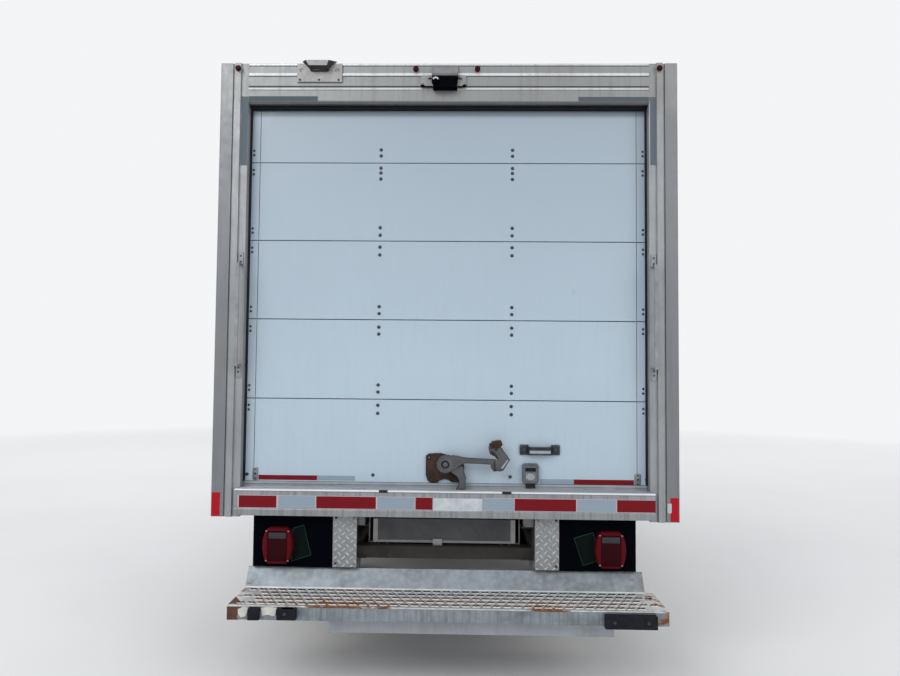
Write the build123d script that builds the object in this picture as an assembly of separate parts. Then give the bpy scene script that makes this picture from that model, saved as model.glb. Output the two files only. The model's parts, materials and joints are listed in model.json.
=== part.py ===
from build123d import *
import math
import os

# Light box truck: cutaway cab, ladder chassis, low van body with a roll-up door.
# Millimetres. +Y is forward, +X is the driver's right, +Z is up, the ground is Z = 0.
# The origin is the middle of the whole truck's length and width, on the ground.

# Driving sizes of the whole truck
front_overhang = 860.0
rear_overhang = 1754.0
sill_top_z = 880.0
body_length = 3710.0
body_width = 2220.0
body_gap = 76.0
door_opening_height = 1862.0
header_height = 199.0
post_width = 137.0

# Wheels
tyre_radius = 372.0
tyre_width = 225.0
tyre_shoulder = 27.0
bead_radius = 203.0
track_half = 865.0
rim_width = 170.0
hub_radius = 75.0
stub_radius = 28.0
running_gap = 0.5
disc_x = 42.0
disc_thickness = 14.0
dish_depth = 28.0
dish_radius = 128.0
barrel_thickness = 12.0
hub_inner_x, hub_outer_x = -38.0, 70.0
wheel_flats = 32
bore_flats = 20
wheel_windows = 6
window_inner_radius, window_outer_radius = 134.0, 172.0
window_half_turn = 11.0
drum_radius, drum_width, drum_gap = 148.0, 60.0, 12.0
kingpin_x = 768.0
upright_half_height = 150.0

# Ladder frame
rail_outer_x = 432.0
rail_flange = 60.0
rail_height = 160.0
rail_thickness = 8.0
rail_bottom_z = 540.0
rail_rear_inset = 70.0
rail_front_inset = 130.0
crossmember_height = 56.0

# Van body
wall_thickness = 45.0
roof_thickness = 40.0
floor_thickness = 40.0
front_wall_thickness = 50.0
corner_radius = 110.0
body_rail_bottom_z = 744.0
cross_sill_height = 76.0
cross_sill_pitch = 405.0
long_sill_width = 50.0

# Rear frame
post_depth = 60.0
sill_height = 124.0
door_thickness = 15.0
door_panels = 5
door_bottom_lift = 24.0
door_panel_pitch = 387.0
seat_gap = 0.3
header_section = (
    # drop below the top, depth back from the frame's face
    (0.0, 3.0), (3.0, 0.0), (11.0, 0.0), (13.0, 4.0), (47.0, 4.0), (62.0, -2.0), (65.0, 3.0),
    (111.0, 3.0), (113.0, 10.0), (117.0, 10.0), (119.0, 4.0), (131.0, -1.0), (134.0, 2.0),
    (184.0, 2.0), (199.0, 12.0),
)

# Rear step bumper
step_depth = 254.0
step_x0, step_x1 = -935.0, 985.0
riser_x1 = 944.0
step_top_z = 414.0
step_lip_height = 60.0
step_plate = 6.0
riser_height = 84.0
riser_lean = 50.0
pad_thickness = 31.0

# Grab handles
grab_z0 = 1464.0
grab_z1 = 1951.0
grab_foot = 58.0

# Cab
cab_half_width = 1005.0
cab_back_y = -1499.0
cab_back_wall = 45.0
cab_side_wall = 80.0
cab_floor_z = 740.0
floor_plate = 40.0
cab_skirt_z = 470.0
cab_roof_z = 2085.0
cowl_z = 1290.0
firewall_y = -435.0
door_gap = 8.0
dash_depth = 200.0
nose_skin = 20.0
hood_half_width = cab_half_width - 205
hood_rear_y = 70.0
cowl_front_y = 60.0
fender_top_z = 1238.0
fender_rear_y = -487.0
hinge_axis_y = fender_rear_y - 4
hinge_barrel = 9.0
hinge_pin = 4.0
hinge_length = 36.0
hinge_clearance = 0.3
door_hinge_heights = (700.0, 1120.0)
hood_hinge_y = 65.0
hood_hinge_z = 1251.0
hood_hinge_x = cab_half_width - 445
hood_barrel = 8.0
hood_gap = 7.0
hood_rear_z = 1262.0
hood_brow_y, hood_brow_z = 640.0, 1120.0
hood_edge_radius = 60.0
nose_front_y = 822.0
nose_knee_z = 930.0
arch_room = 60.0
grille_top_z = 985.0
bumper_z0, bumper_z1 = 430.0, 640.0
mirror_standoff, mirror_width = 85.0, 180.0
mirror_z0, mirror_z1 = 1130.0, 1530.0
mirror_corner, mirror_arm_radius = 40.0, 11.0

# Places worked out from the sizes above
wheelbase = body_length + body_gap - cab_back_y - rear_overhang
overall_length = pad_thickness + step_depth + rear_overhang + wheelbase + front_overhang
rear_y = -overall_length / 2 + pad_thickness + step_depth
rear_axle_y = rear_y + rear_overhang
front_axle_y = rear_axle_y + wheelbase
frame_top_z = sill_top_z + door_opening_height + header_height
half_body = body_width / 2
post_inner_x = half_body - post_width
sill_half_width = half_body - 119
door_half_width = post_inner_x + 12
body_front_y = rear_y + body_length
floor_bottom_z = sill_top_z - floor_thickness
cross_sill_z = floor_bottom_z - cross_sill_height
rail_top_z = rail_bottom_z + rail_height
rail_inner_x = rail_outer_x - rail_flange
door_face_y = rear_y + post_depth + seat_gap
wall_rear_y = rear_y + post_depth
wall_inner_x = half_body - wall_thickness
sides = (("left", -1), ("right", 1))


# Helpers: every outline is given in the two axes that it is drawn in
def block(x0, x1, y0, y1, z0, z1):
    """A plain box between two corners."""
    return Pos((x0 + x1) / 2, (y0 + y1) / 2, (z0 + z1) / 2) * Box(x1 - x0, y1 - y0, z1 - z0)


def along_x(points, x0, x1):
    """A (Y, Z) outline pushed from x0 to x1."""
    plane = Plane(origin=(x0, 0, 0), x_dir=(0, 1, 0), z_dir=(1, 0, 0))
    return extrude(plane * make_face(Polyline(*points, close=True)), amount=x1 - x0)


def along_y(points, y0, y1):
    """An (X, Z) outline pushed from y0 to y1."""
    plane = Plane(origin=(0, y1, 0), x_dir=(1, 0, 0), z_dir=(0, -1, 0))
    return extrude(plane * make_face(Polyline(*points, close=True)), amount=y1 - y0)


def along_z(points, z0, z1):
    """An (X, Y) outline pushed from z0 to z1."""
    plane = Plane(origin=(0, 0, z0))
    return extrude(plane * make_face(Polyline(*points, close=True)), amount=z1 - z0)


def edges_along_x(edges, x0, x1):
    """Edges in (Y, Z) that close an outline, pushed from x0 to x1."""
    plane = Plane(origin=(x0, 0, 0), x_dir=(0, 1, 0), z_dir=(1, 0, 0))
    return extrude(plane * make_face(edges), amount=x1 - x0)


def edges_along_y(edges, y0, y1):
    """Edges in (X, Z) that close an outline, pushed from y0 to y1."""
    plane = Plane(origin=(0, y1, 0), x_dir=(1, 0, 0), z_dir=(0, -1, 0))
    return extrude(plane * make_face(edges), amount=y1 - y0)


def edges_along_z(edges, z0, z1):
    """Edges in (X, Y) that close an outline, pushed from z0 to z1."""
    plane = Plane(origin=(0, 0, z0))
    return extrude(plane * make_face(edges), amount=z1 - z0)


def rod(start, end, radius):
    """A round bar from start to end."""
    axis = Vector(*end) - Vector(*start)
    plane = Plane(origin=start, z_dir=axis)
    return extrude(plane * Circle(radius), amount=axis.length)


def bar(start, end, radius, flats=12):
    """A straight bar with flat sides from start to end."""
    axis = Vector(*end) - Vector(*start)
    plane = Plane(origin=start, z_dir=axis)
    return extrude(plane * RegularPolygon(radius, flats), amount=axis.length)


def turned(profile, x, y, z, flats):
    """A (distance along X, radius) outline carried round an axle along X in flat steps."""
    rings = []
    for step in range(flats):
        angle = 2 * math.pi * step / flats
        rings.append([Vector(x + along, y + radius * math.cos(angle), z + radius * math.sin(angle))
                      for along, radius in profile])
    faces = []
    for step, ring in enumerate(rings):
        after = rings[(step + 1) % flats]
        for i in range(len(ring)):
            j = (i + 1) % len(ring)
            corners = [ring[i], after[i], after[j], ring[j]]
            faces.append(Face(Wire.make_polygon(corners, close=True)))
    return Solid(Shell(faces))


def soft_outline(x0, x1, z0, z1, radius):
    """A rectangle whose corners are cut in three steps."""
    outline = []
    for x, z, turn in ((x1 - radius, z0 + radius, -90), (x1 - radius, z1 - radius, 0),
                       (x0 + radius, z1 - radius, 90), (x0 + radius, z0 + radius, 180)):
        for step in range(4):
            angle = math.radians(turn + 30 * step)
            outline.append((x + radius * math.cos(angle), z + radius * math.sin(angle)))
    return outline


def both_sides(shape):
    """The shape and its mirror image in the truck's middle plane."""
    return shape + mirror(shape, about=Plane.YZ)


def on_side(shape, side):
    """The shape, drawn for the right, on the side asked for."""
    return shape if side > 0 else mirror(shape, about=Plane.YZ)


def node(name, *shapes):
    """Write one piece, which may hold solids that don't touch."""
    solids = [solid for shape in shapes for solid in shape.solids()]
    whole = solids[0] if len(solids) == 1 else Compound(solids)
    export_step(whole, f"parts/{name}.step")


os.makedirs("parts", exist_ok=True)


# Chassis
def c_rail():
    """Right-hand channel rail, open side inwards."""
    y0, y1 = rear_y + rail_rear_inset, front_axle_y + front_overhang - rail_front_inset
    outer = block(rail_inner_x, rail_outer_x, y0, y1, rail_bottom_z, rail_top_z)
    hollow = block(rail_inner_x - 1, rail_outer_x - rail_thickness, y0 - 1, y1 + 1,
                   rail_bottom_z + rail_thickness, rail_top_z - rail_thickness)
    return outer - hollow


def chassis_frame():
    """Two channel rails with crossmembers between them."""
    frame = both_sides(c_rail())
    inside_x = rail_outer_x - rail_thickness
    high = rail_bottom_z + crossmember_height
    low = rail_bottom_z - crossmember_height
    for y in (rear_y + 120, rear_axle_y - 760, rear_axle_y + 700):
        frame += block(-inside_x, inside_x, y - 40, y + 40, rail_bottom_z, high)
    for y in (front_axle_y - 1000, front_axle_y, front_axle_y + 600):
        frame += block(-rail_outer_x, rail_outer_x, y - 45, y + 45, low, rail_bottom_z)
    return frame


node("chassis_frame", chassis_frame())

# Engine and gearbox as one plain stepped block on the front crossmembers
engine_half, engine_top_z, gearbox_half = 300.0, 1060.0, 150.0
engine_rear_y = front_axle_y + firewall_y + 15
engine_front_y = front_axle_y + 520
gearbox_rear_y = front_axle_y - 1060
engine = block(-engine_half, engine_half, engine_rear_y, engine_front_y, rail_bottom_z, engine_top_z)
engine += block(-gearbox_half, gearbox_half, gearbox_rear_y, engine_rear_y, rail_bottom_z, rail_top_z - 12)
node("engine_block", engine)

radiator_y = front_axle_y + 600
radiator_half, radiator_depth, radiator_top_z = 360.0, 70.0, 985.0
node("radiator", block(-radiator_half, radiator_half, radiator_y - radiator_depth / 2,
                       radiator_y + radiator_depth / 2, rail_bottom_z, radiator_top_z))


def front_suspension():
    """Cradle under the front crossmember with upper and lower arms to the kingpins."""
    y = front_axle_y
    lower_z = tyre_radius - upright_half_height - seat_gap
    upper_z = tyre_radius + upright_half_height + seat_gap
    low_frame = rail_bottom_z - crossmember_height
    cradle = block(-380, 380, y - 80, y + 80, lower_z - 30, low_frame)
    arm = block(370, kingpin_x, y - 28, y + 28, lower_z - 30, lower_z)
    arm += bar((kingpin_x, y, lower_z - 30), (kingpin_x, y, lower_z), 30)
    arm += block(rail_outer_x, kingpin_x, y - 22, y + 22, upper_z, upper_z + 24)
    arm += bar((kingpin_x, y, upper_z), (kingpin_x, y, upper_z + 24), 26)
    arm += bar((560, y, lower_z - 5), (560, y, upper_z + 5), 48)
    return cradle + both_sides(arm)


node("front_suspension", front_suspension())


def knuckle():
    """Right-hand upright with its stub axle."""
    upright = block(kingpin_x - 24, kingpin_x + 20, front_axle_y - 40, front_axle_y + 40,
                    tyre_radius - upright_half_height, tyre_radius + upright_half_height)
    stub = bar((kingpin_x, front_axle_y, tyre_radius),
               (track_half + 30, front_axle_y, tyre_radius), stub_radius, bore_flats)
    steering_arm = block(kingpin_x - 24, kingpin_x - 4, front_axle_y - 130, front_axle_y,
                         tyre_radius - 90, tyre_radius - 60)
    return upright + stub + steering_arm


for side_name, side in sides:
    node(f"knuckle_{side_name}", on_side(knuckle(), side))

# Rear axle: tube, differential housing, spring seats and stub ends
axle_tube_radius = 42.0
housing_radius, housing_half = 145.0, 95.0
spring_x0, spring_x1 = rail_outer_x + 8, rail_outer_x + 73
spring_seat_z = tyre_radius + 58


def rear_axle():
    """Banjo axle with a spring seat on each side."""
    tube_end = track_half - 105
    axle = bar((-tube_end, rear_axle_y, tyre_radius), (tube_end, rear_axle_y, tyre_radius),
               axle_tube_radius)
    axle += bar((-housing_half, rear_axle_y, tyre_radius), (housing_half, rear_axle_y, tyre_radius),
                housing_radius, 20)
    axle += bar((0, rear_axle_y + 100, tyre_radius), (0, rear_axle_y + 210, tyre_radius + 8), 60)
    side_part = bar((tube_end - 5, rear_axle_y, tyre_radius),
                    (track_half + 30, rear_axle_y, tyre_radius), stub_radius, bore_flats)
    side_part += block(spring_x0, spring_x1, rear_axle_y - 70, rear_axle_y + 70,
                       tyre_radius, spring_seat_z)
    drum_outer_x = track_half + hub_inner_x - drum_gap
    side_part += bar((drum_outer_x - drum_width, rear_axle_y, tyre_radius),
                     (drum_outer_x, rear_axle_y, tyre_radius), drum_radius, 24)
    return axle + both_sides(side_part)


node("rear_axle", rear_axle())

# Leaf springs: an arched pack, longer on top, with its eyes in hangers on the rail
spring_half_length = 640.0
spring_eye_z = rail_bottom_z + 22
leaf_thickness = 14.0


def leaf(half_length, eye_z, top_z):
    """One arched leaf, drawn as a band between two arcs."""
    y = rear_axle_y
    upper = ThreePointArc((y - half_length, eye_z), (y, top_z), (y + half_length, eye_z))
    lower = ThreePointArc((y - half_length, eye_z - leaf_thickness), (y, top_z - leaf_thickness),
                          (y + half_length, eye_z - leaf_thickness))
    ends = [Line(upper @ 0, lower @ 0), Line(upper @ 1, lower @ 1)]
    return edges_along_x([upper, lower] + ends, spring_x0, spring_x1)


def leaf_spring():
    """Right-hand spring pack with its two hangers."""
    pack_top = spring_seat_z + 3 * leaf_thickness
    rise = spring_eye_z - pack_top
    pack = leaf(spring_half_length, spring_eye_z, pack_top)
    for layer, share in ((1, 0.72), (2, 0.45)):
        top = pack_top - layer * leaf_thickness
        pack += leaf(spring_half_length * share, top + rise * share ** 2, top)
    pack += block(spring_x0, spring_x1, rear_axle_y - 60, rear_axle_y + 60,
                  spring_seat_z, pack_top + 10)
    for end in (-1, 1):
        y = rear_axle_y + end * spring_half_length
        pack += block(rail_outer_x, spring_x1, y - 32, y + 32, spring_eye_z - 34, spring_eye_z + 60)
    return pack


node("leaf_springs", both_sides(leaf_spring()))

# Propeller shaft between the gearbox and the differential
shaft_front = (0, gearbox_rear_y - 5.5, rail_bottom_z + 70)
shaft_rear = (0, rear_axle_y + 211.2, tyre_radius + 10)
node("driveshaft", bar(shaft_rear, shaft_front, 38))

# Fuel tank on the left rail
tank_x0, tank_x1 = -900.0, -rail_outer_x
tank_length, tank_z0, tank_corner = 860.0, 345.0, 50.0
tank_y0 = rear_axle_y + 876
tank = block(tank_x0, tank_x1, tank_y0, tank_y0 + tank_length, tank_z0, rail_top_z - 60)
tank = fillet(tank.edges().filter_by(Axis.Y).group_by(Axis.X)[0], tank_corner)
filler_y = tank_y0 + tank_length - 110
filler_foot, filler_end = Vector(-870, filler_y, 590), Vector(-944, filler_y, 690)
filler_out = (filler_end - filler_foot).normalized()
tank += bar(tuple(filler_foot), tuple(filler_end), 28)
tank += bar(tuple(filler_end), tuple(filler_end + filler_out * 22), 40, 16)
node("fuel_tank", tank)

# Exhaust: silencer and tail pipe hung from the right rail
exhaust_x, exhaust_z = 600.0, 450.0
silencer_radius, silencer_length, pipe_radius = 95.0, 620.0, 30.0
tail_end_x = 990.0
silencer_y = rear_axle_y + 1116
hanger_z = rail_bottom_z + 8


def exhaust_run():
    """Silencer, front pipe and a tail pipe that turns out ahead of the rear wheel."""
    rear, front = silencer_y, silencer_y + silencer_length
    run = bar((exhaust_x, rear, exhaust_z), (exhaust_x, front, exhaust_z), silencer_radius, 20)
    run += bar((exhaust_x, front - 10, exhaust_z), (exhaust_x, front + 640, exhaust_z), pipe_radius)
    run += bar((exhaust_x, rear - 340, exhaust_z), (exhaust_x, rear + 10, exhaust_z), pipe_radius)
    run += bar((exhaust_x - 8, rear - 330, exhaust_z), (tail_end_x, rear - 460, exhaust_z), pipe_radius)
    for y in (rear + 120, rear + 500, rear + 1160):
        run += block(rail_outer_x, exhaust_x, y - 20, y + 20, hanger_z, hanger_z + 12)
        run += block(exhaust_x - 12, exhaust_x, y - 20, y + 20, exhaust_z + pipe_radius - 10, hanger_z + 12)
    return run


exhaust = exhaust_run()
node("exhaust", exhaust)


# Wheels
def tyre(x, y):
    """Tyre with straight sides and sloping shoulders."""
    bead, half = rim_width / 2, tyre_width / 2
    tread_half = half - tyre_shoulder
    profile = [
        (-bead, bead_radius), (-half, bead_radius + tyre_shoulder), (-half, tyre_radius - tyre_shoulder),
        (-tread_half, tyre_radius), (tread_half, tyre_radius), (half, tyre_radius - tyre_shoulder),
        (half, bead_radius + tyre_shoulder), (bead, bead_radius),
    ]
    return turned(profile, x, y, tyre_radius, wheel_flats)


def rim(x, y):
    """Right-hand dished steel wheel: barrel, disc and hub with a bore for the stub axle."""
    half = rim_width / 2
    well = bead_radius - barrel_thickness
    core = stub_radius - 8
    disc_back = disc_x - disc_thickness
    profile = [
        (-half, bead_radius), (-half, well), (disc_back - dish_depth, well), (disc_back, dish_radius),
        (disc_back, hub_radius), (hub_inner_x, hub_radius), (hub_inner_x, core), (hub_outer_x, core),
        (hub_outer_x, hub_radius - 15), (disc_x, hub_radius - 5), (disc_x, dish_radius),
        (disc_x - dish_depth, well), (half, well), (half, bead_radius),
    ]
    wheel = turned(profile, x, y, tyre_radius, wheel_flats)
    bore_radius = (stub_radius + running_gap) / math.cos(math.pi / bore_flats)
    wheel -= bar((x + hub_inner_x - 1, y, tyre_radius), (x + hub_outer_x + 1, y, tyre_radius),
                 bore_radius, bore_flats)
    for turn in range(wheel_windows):
        corners = []
        for radius, lean in ((window_inner_radius, -1), (window_inner_radius, 1),
                             (window_outer_radius, 1), (window_outer_radius, -1)):
            angle = math.radians(turn * 360 / wheel_windows + lean * window_half_turn)
            corners.append((y + radius * math.cos(angle), tyre_radius + radius * math.sin(angle)))
        wheel -= along_x(corners, x - disc_x, x + disc_x + dish_depth)
    return wheel


for end_name, axle_y in (("front", front_axle_y), ("rear", rear_axle_y)):
    for side_name, side in sides:
        node(f"tyre_{end_name}_{side_name}", tyre(side * track_half, axle_y))
        node(f"rim_{end_name}_{side_name}", on_side(rim(track_half, axle_y), side))

# Cab, drawn about the front axle
A = front_axle_y
glass_rise = 720.0
glass_run = 620.0
screen_base_y = 36.0
screen_arc_radius = 2164.0
screen_flats = 8


def cabin(side, back, top, front):
    """Cabin volume, taken in by a wall on its sides, back, roof and windscreen."""
    base_y = screen_base_y - front * 1.4
    roof_z = cab_roof_z - top
    head_y = base_y - glass_run
    head_z = cowl_z + glass_rise - top * 0.6
    back_y = cab_back_y + back
    roof_arc = ThreePointArc((A + head_y, head_z), (A + head_y - 190, roof_z - 16),
                             (A + head_y - 440, roof_z))
    roof_line = [roof_arc @ (step / 4) for step in range(5)]
    silhouette = [(A + back_y, cab_skirt_z), (A + base_y, cab_skirt_z), (A + base_y, cowl_z)]
    silhouette += [(point.X, point.Y) for point in roof_line]
    silhouette.append((A + back_y, roof_z - 22))
    volume = along_x(silhouette, -cab_half_width, cab_half_width)
    section = [
        (cab_half_width - 20 - side, cab_skirt_z - 1), (cab_half_width - side, 640),
        (cab_half_width - side, 1150), (cab_half_width - 20 - side, cowl_z),
        (cab_half_width - 137 - side, 1960 - top * 0.6), (cab_half_width - 179 - side, 2040 - top),
        (cab_half_width - 265 - side, roof_z - 8), (0, roof_z + 20),
    ]
    whole_section = section + [(-x, z) for x, z in reversed(section[:-1])]
    volume &= along_y(whole_section, A + cab_back_y - 101, A + 200)
    reach = cab_half_width + 40
    low = cab_skirt_z - 100
    slope_shift = (cowl_z - low) * glass_run / glass_rise
    y0 = A + base_y + slope_shift
    plan = [(reach, y0 - 2600), (-reach, y0 - 2600)]
    for step in range(screen_flats + 1):
        x = reach * (2 * step / screen_flats - 1)
        plan.append((x, y0 - screen_arc_radius + math.sqrt(screen_arc_radius ** 2 - x ** 2)))
    face = Plane(origin=(0, 0, low)) * make_face(Polyline(*plan, close=True))
    rise = cab_roof_z + 100 - low
    slope = Vector(0, -glass_run / glass_rise, 1)
    return volume & extrude(face, amount=rise * slope.length, dir=slope)


door_front_y = firewall_y - 60
door_rear_y = -1400.0
door_bottom_z = 560.0
door_top_z = 1970.0
belt_z = 1300.0
pillar_foot_y = -345.0


def door_outline(grow, y_shift=0.0):
    """Side outline of the door, grown by the shut gap where the body is cut."""
    slope = glass_run / glass_rise
    knee_z = cowl_z + (pillar_foot_y - door_front_y) / slope
    head_y = pillar_foot_y - (door_top_z - cowl_z) * slope
    points = [
        (door_rear_y - grow, door_bottom_z - grow), (door_front_y + grow, door_bottom_z - grow),
        (door_front_y + grow, knee_z + grow * 0.4), (head_y + grow * 1.3, door_top_z + grow),
        (door_rear_y + 70, door_top_z + grow), (door_rear_y - grow, door_top_z - 70),
    ]
    return [(A + y + y_shift, z) for y, z in points]


def window_outline():
    """Side outline of the door glass."""
    slope = glass_run / glass_rise
    foot_y = pillar_foot_y - 75
    head_y = foot_y - (door_top_z - 60 - cowl_z) * slope
    knee_z = cowl_z + (foot_y - (door_front_y - 60)) / slope
    points = [
        (door_rear_y + 75, belt_z), (door_front_y - 60, belt_z), (door_front_y - 60, knee_z),
        (head_y, door_top_z - 60), (door_rear_y + 105, door_top_z - 60),
        (door_rear_y + 75, door_top_z - 95),
    ]
    return [(A + y, z) for y, z in points]


def cab_walls():
    """Cabin walls with firewall and cowl, before the doors are cut out."""
    outer = cabin(0, 0, 0, 0)
    reach = cab_half_width + 95
    inner = cab_half_width - 20
    outer -= block(-reach, reach, A + firewall_y, A + 400, cab_skirt_z - 10, cowl_z - 50)
    lower = block(-reach, reach, A + firewall_y - 52, A + 400, cab_skirt_z - 10, cowl_z - 50)
    lower -= block(-inner, inner, A + firewall_y - 60, A + 400, cab_skirt_z - 20, cowl_z - 40)
    outer -= lower
    room = cabin(cab_side_wall, cab_back_wall, 42, 40)
    room -= block(-reach, reach, A + firewall_y - 45, A + 400, cab_skirt_z - 10, cowl_z + 4)
    room &= block(-reach, reach, A + cab_back_y - 101, A + 400, cab_floor_z - floor_plate, cab_roof_z)
    half = cab_half_width - cab_side_wall
    under = block(-half, half, A + cab_back_y - 1, A + 400, cab_skirt_z - 10, cab_floor_z - floor_plate)
    return outer - room - under


walls = cab_walls()
cowl_panel = block(-cab_half_width + 25.3, cab_half_width - 25.3, A + firewall_y - 20, A + cowl_front_y,
                   fender_top_z - 24, fender_top_z + 2)


def barrel(z0, z1, radius):
    """Right-hand stretch of the door hinge, about its pin."""
    centre = (cab_half_width, A + hinge_axis_y)
    return bar((*centre, z0), (*centre, z1), radius)


def door_hinge_parts():
    """Right-hand hinges: pillar side, door side, and the room that each needs."""
    pillar, leaf_part, pillar_room, leaf_room, fender_room = [], [], [], [], []
    for z in door_hinge_heights:
        low, high = z - hinge_length / 2, z + hinge_length / 2
        ends = ((low - hinge_length, low), (high, high + hinge_length))
        pillar.append(barrel(low - hinge_length, high + hinge_length, hinge_pin))
        for z0, z1 in ends:
            pillar.append(barrel(z0, z1, hinge_barrel))
            pillar_room.append(barrel(z0 - hinge_clearance, z1 + hinge_clearance, hinge_barrel + 1))
        lug = block(cab_half_width - 22, cab_half_width - 1, A + hinge_axis_y + hinge_barrel + 1,
                    A + hinge_axis_y + 20, low - hinge_length, high + hinge_length)
        pillar.append(lug)
        for z0, z1 in ends:
            pillar.append(block(cab_half_width - 7, cab_half_width - 1, A + hinge_axis_y,
                                A + hinge_axis_y + 14, z0, z1))
        knuckle_part = barrel(low + hinge_clearance, high - hinge_clearance, hinge_barrel)
        knuckle_part += block(cab_half_width - 7, cab_half_width, A + hinge_axis_y - 16,
                              A + hinge_axis_y, low + hinge_clearance, high - hinge_clearance)
        leaf_part.append(knuckle_part - barrel(low, high, hinge_pin + hinge_clearance))
        leaf_room.append(barrel(low - hinge_clearance, high + hinge_clearance, hinge_barrel + 1))
        fender_room.append(block(cab_half_width - 40, cab_half_width + 1, A + fender_rear_y - 3,
                                 A + hinge_axis_y + 22, low - hinge_length - 2, high + hinge_length + 2))
    return pillar, leaf_part, pillar_room, leaf_room, fender_room


hinge_pillar, hinge_leaf, hinge_pillar_room, hinge_leaf_room, hinge_fender_room = door_hinge_parts()
hood_axis = (A + hood_hinge_y, hood_hinge_z)
hood_lugs, hood_knuckles, hood_room = [], [], []
for x in (-hood_hinge_x, hood_hinge_x):
    half = hinge_length / 2
    reach = 1.5 * hinge_length
    hood_lugs.append(bar((x - reach, *hood_axis), (x + reach, *hood_axis), hinge_pin))
    for x0, x1 in ((x - reach, x - half), (x + half, x + reach)):
        lug = bar((x0, *hood_axis), (x1, *hood_axis), hood_barrel)
        lug += along_x([
            (A + cowl_front_y - 12, fender_top_z), (A + cowl_front_y, fender_top_z),
            (A + hood_hinge_y, hood_hinge_z - 6), (A + hood_hinge_y - 4, hood_hinge_z + 6),
        ], x0, x1)
        hood_lugs.append(lug)
        hood_room.append(bar((x0 - hinge_clearance, *hood_axis), (x1 + hinge_clearance, *hood_axis),
                             hood_barrel + 1.8))
    x0, x1 = x - half + hinge_clearance, x + half - hinge_clearance
    leaf_knuckle = bar((x0, *hood_axis), (x1, *hood_axis), hood_barrel)
    leaf_knuckle += block(x0, x1, A + hood_hinge_y, A + hood_rear_y + 6, hood_hinge_z - 4, hood_hinge_z + 5)
    leaf_knuckle -= bar((x0 - 1, *hood_axis), (x1 + 1, *hood_axis), hinge_pin + hinge_clearance)
    hood_knuckles.append(leaf_knuckle)
screen_half = (
    # in from the cab's half width, height
    (165.0, cowl_z + 55), (290.0, cab_roof_z - 160), (345.0, cab_roof_z - 133),
)
screen_right = [(cab_half_width - inset, z) for inset, z in screen_half]
screen_cut = along_y(screen_right + [(-x, z) for x, z in reversed(screen_right)], A - 1000, A + 200)
shell = walls + cowl_panel - screen_cut
door_solids = {}
glass_solids = {}
for side_name, side in sides:
    x0, x1 = sorted((side * (cab_half_width - 305), side * (cab_half_width + 95)))
    shell -= along_x(door_outline(door_gap), x0, x1)
    door_zone = along_x(door_outline(0), x0, x1)
    glass_zone = along_x(window_outline(), x0, x1)
    leaf_side = (walls & door_zone) - glass_zone
    for room in hinge_pillar_room:
        leaf_side -= on_side(room, side)
    for knuckle_part in hinge_leaf:
        leaf_side += on_side(knuckle_part, side)
    door_solids[side_name] = leaf_side
    for room in hinge_leaf_room:
        shell -= on_side(room, side)
    for piece in hinge_pillar:
        shell += on_side(piece, side)
    glass_band = cabin(26, 26, 26, 26) - cabin(32, 32, 32, 32)
    glass_solids[side_name] = glass_band & glass_zone
for piece in hood_lugs:
    shell += piece
node("cab_shell", shell)
screen_band = (cabin(14, 14, 14, 14) - cabin(20, 20, 20, 20)) & screen_cut
screen_band &= block(-1000, 1000, A - 1000, A + 200, 1300, 2000)
node("windscreen", screen_band)
for side_name, side in sides:
    node(f"door_{side_name}", door_solids[side_name])
    node(f"door_glass_{side_name}", glass_solids[side_name])

floor_front = A + firewall_y - 45
floor_rear = A + cab_back_y + cab_back_wall
floor_half = cab_half_width - cab_side_wall - 10
node("cab_floor", block(-floor_half, floor_half, floor_rear, floor_front,
                        cab_floor_z - floor_plate, cab_floor_z))

dash_rear = floor_front - dash_depth
dashboard = along_x([
    (floor_front, 900), (floor_front, cowl_z - 60), (dash_rear + 60, cowl_z - 70),
    (dash_rear, cowl_z - 130), (dash_rear + 20, cowl_z - 260), (dash_rear + 120, 900),
], 10 - floor_half, floor_half - 10)
node("dashboard", dashboard)


def seat(x):
    """Bench-style bucket: pedestal, cushion, raked back and headrest in one form."""
    y = A + cab_back_y + cab_back_wall + 15
    outline = [
        (y + 140, cab_floor_z), (y + 590, cab_floor_z), (y + 640, 950), (y + 620, 1030),
        (y + 250, 1000), (y + 110, 1500), (y + 115, 1690), (y + 30, 1700), (y + 5, 1500),
        (y + 100, 940),
    ]
    return along_x(outline, x - 240, x + 240)


seat_x = cab_half_width - 525
node("seats", seat(-seat_x), seat(seat_x))

wheel_centre = Vector(-seat_x, A - 900, 1240)
wheel_axis = Vector(0, -0.75, 0.66)
wheel_plane = Plane(origin=wheel_centre, x_dir=wheel_axis, z_dir=(1, 0, 0))
rim_section = [(14, 185), (7, 173), (-7, 173), (-14, 185), (-7, 197), (7, 197)]
steering_wheel = wheel_plane * turned(rim_section, 0, 0, 0, 20)
steering_wheel += wheel_plane * bar((-12, 0, 0), (12, 0, 0), 55)
steering_wheel += wheel_plane * block(-7, 7, -15, 15, -184, 184)
column_end = wheel_centre + wheel_axis * -380
steering_wheel += bar(tuple(wheel_centre), tuple(column_end), 26)
node("steering_wheel", steering_wheel - dashboard)


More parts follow.
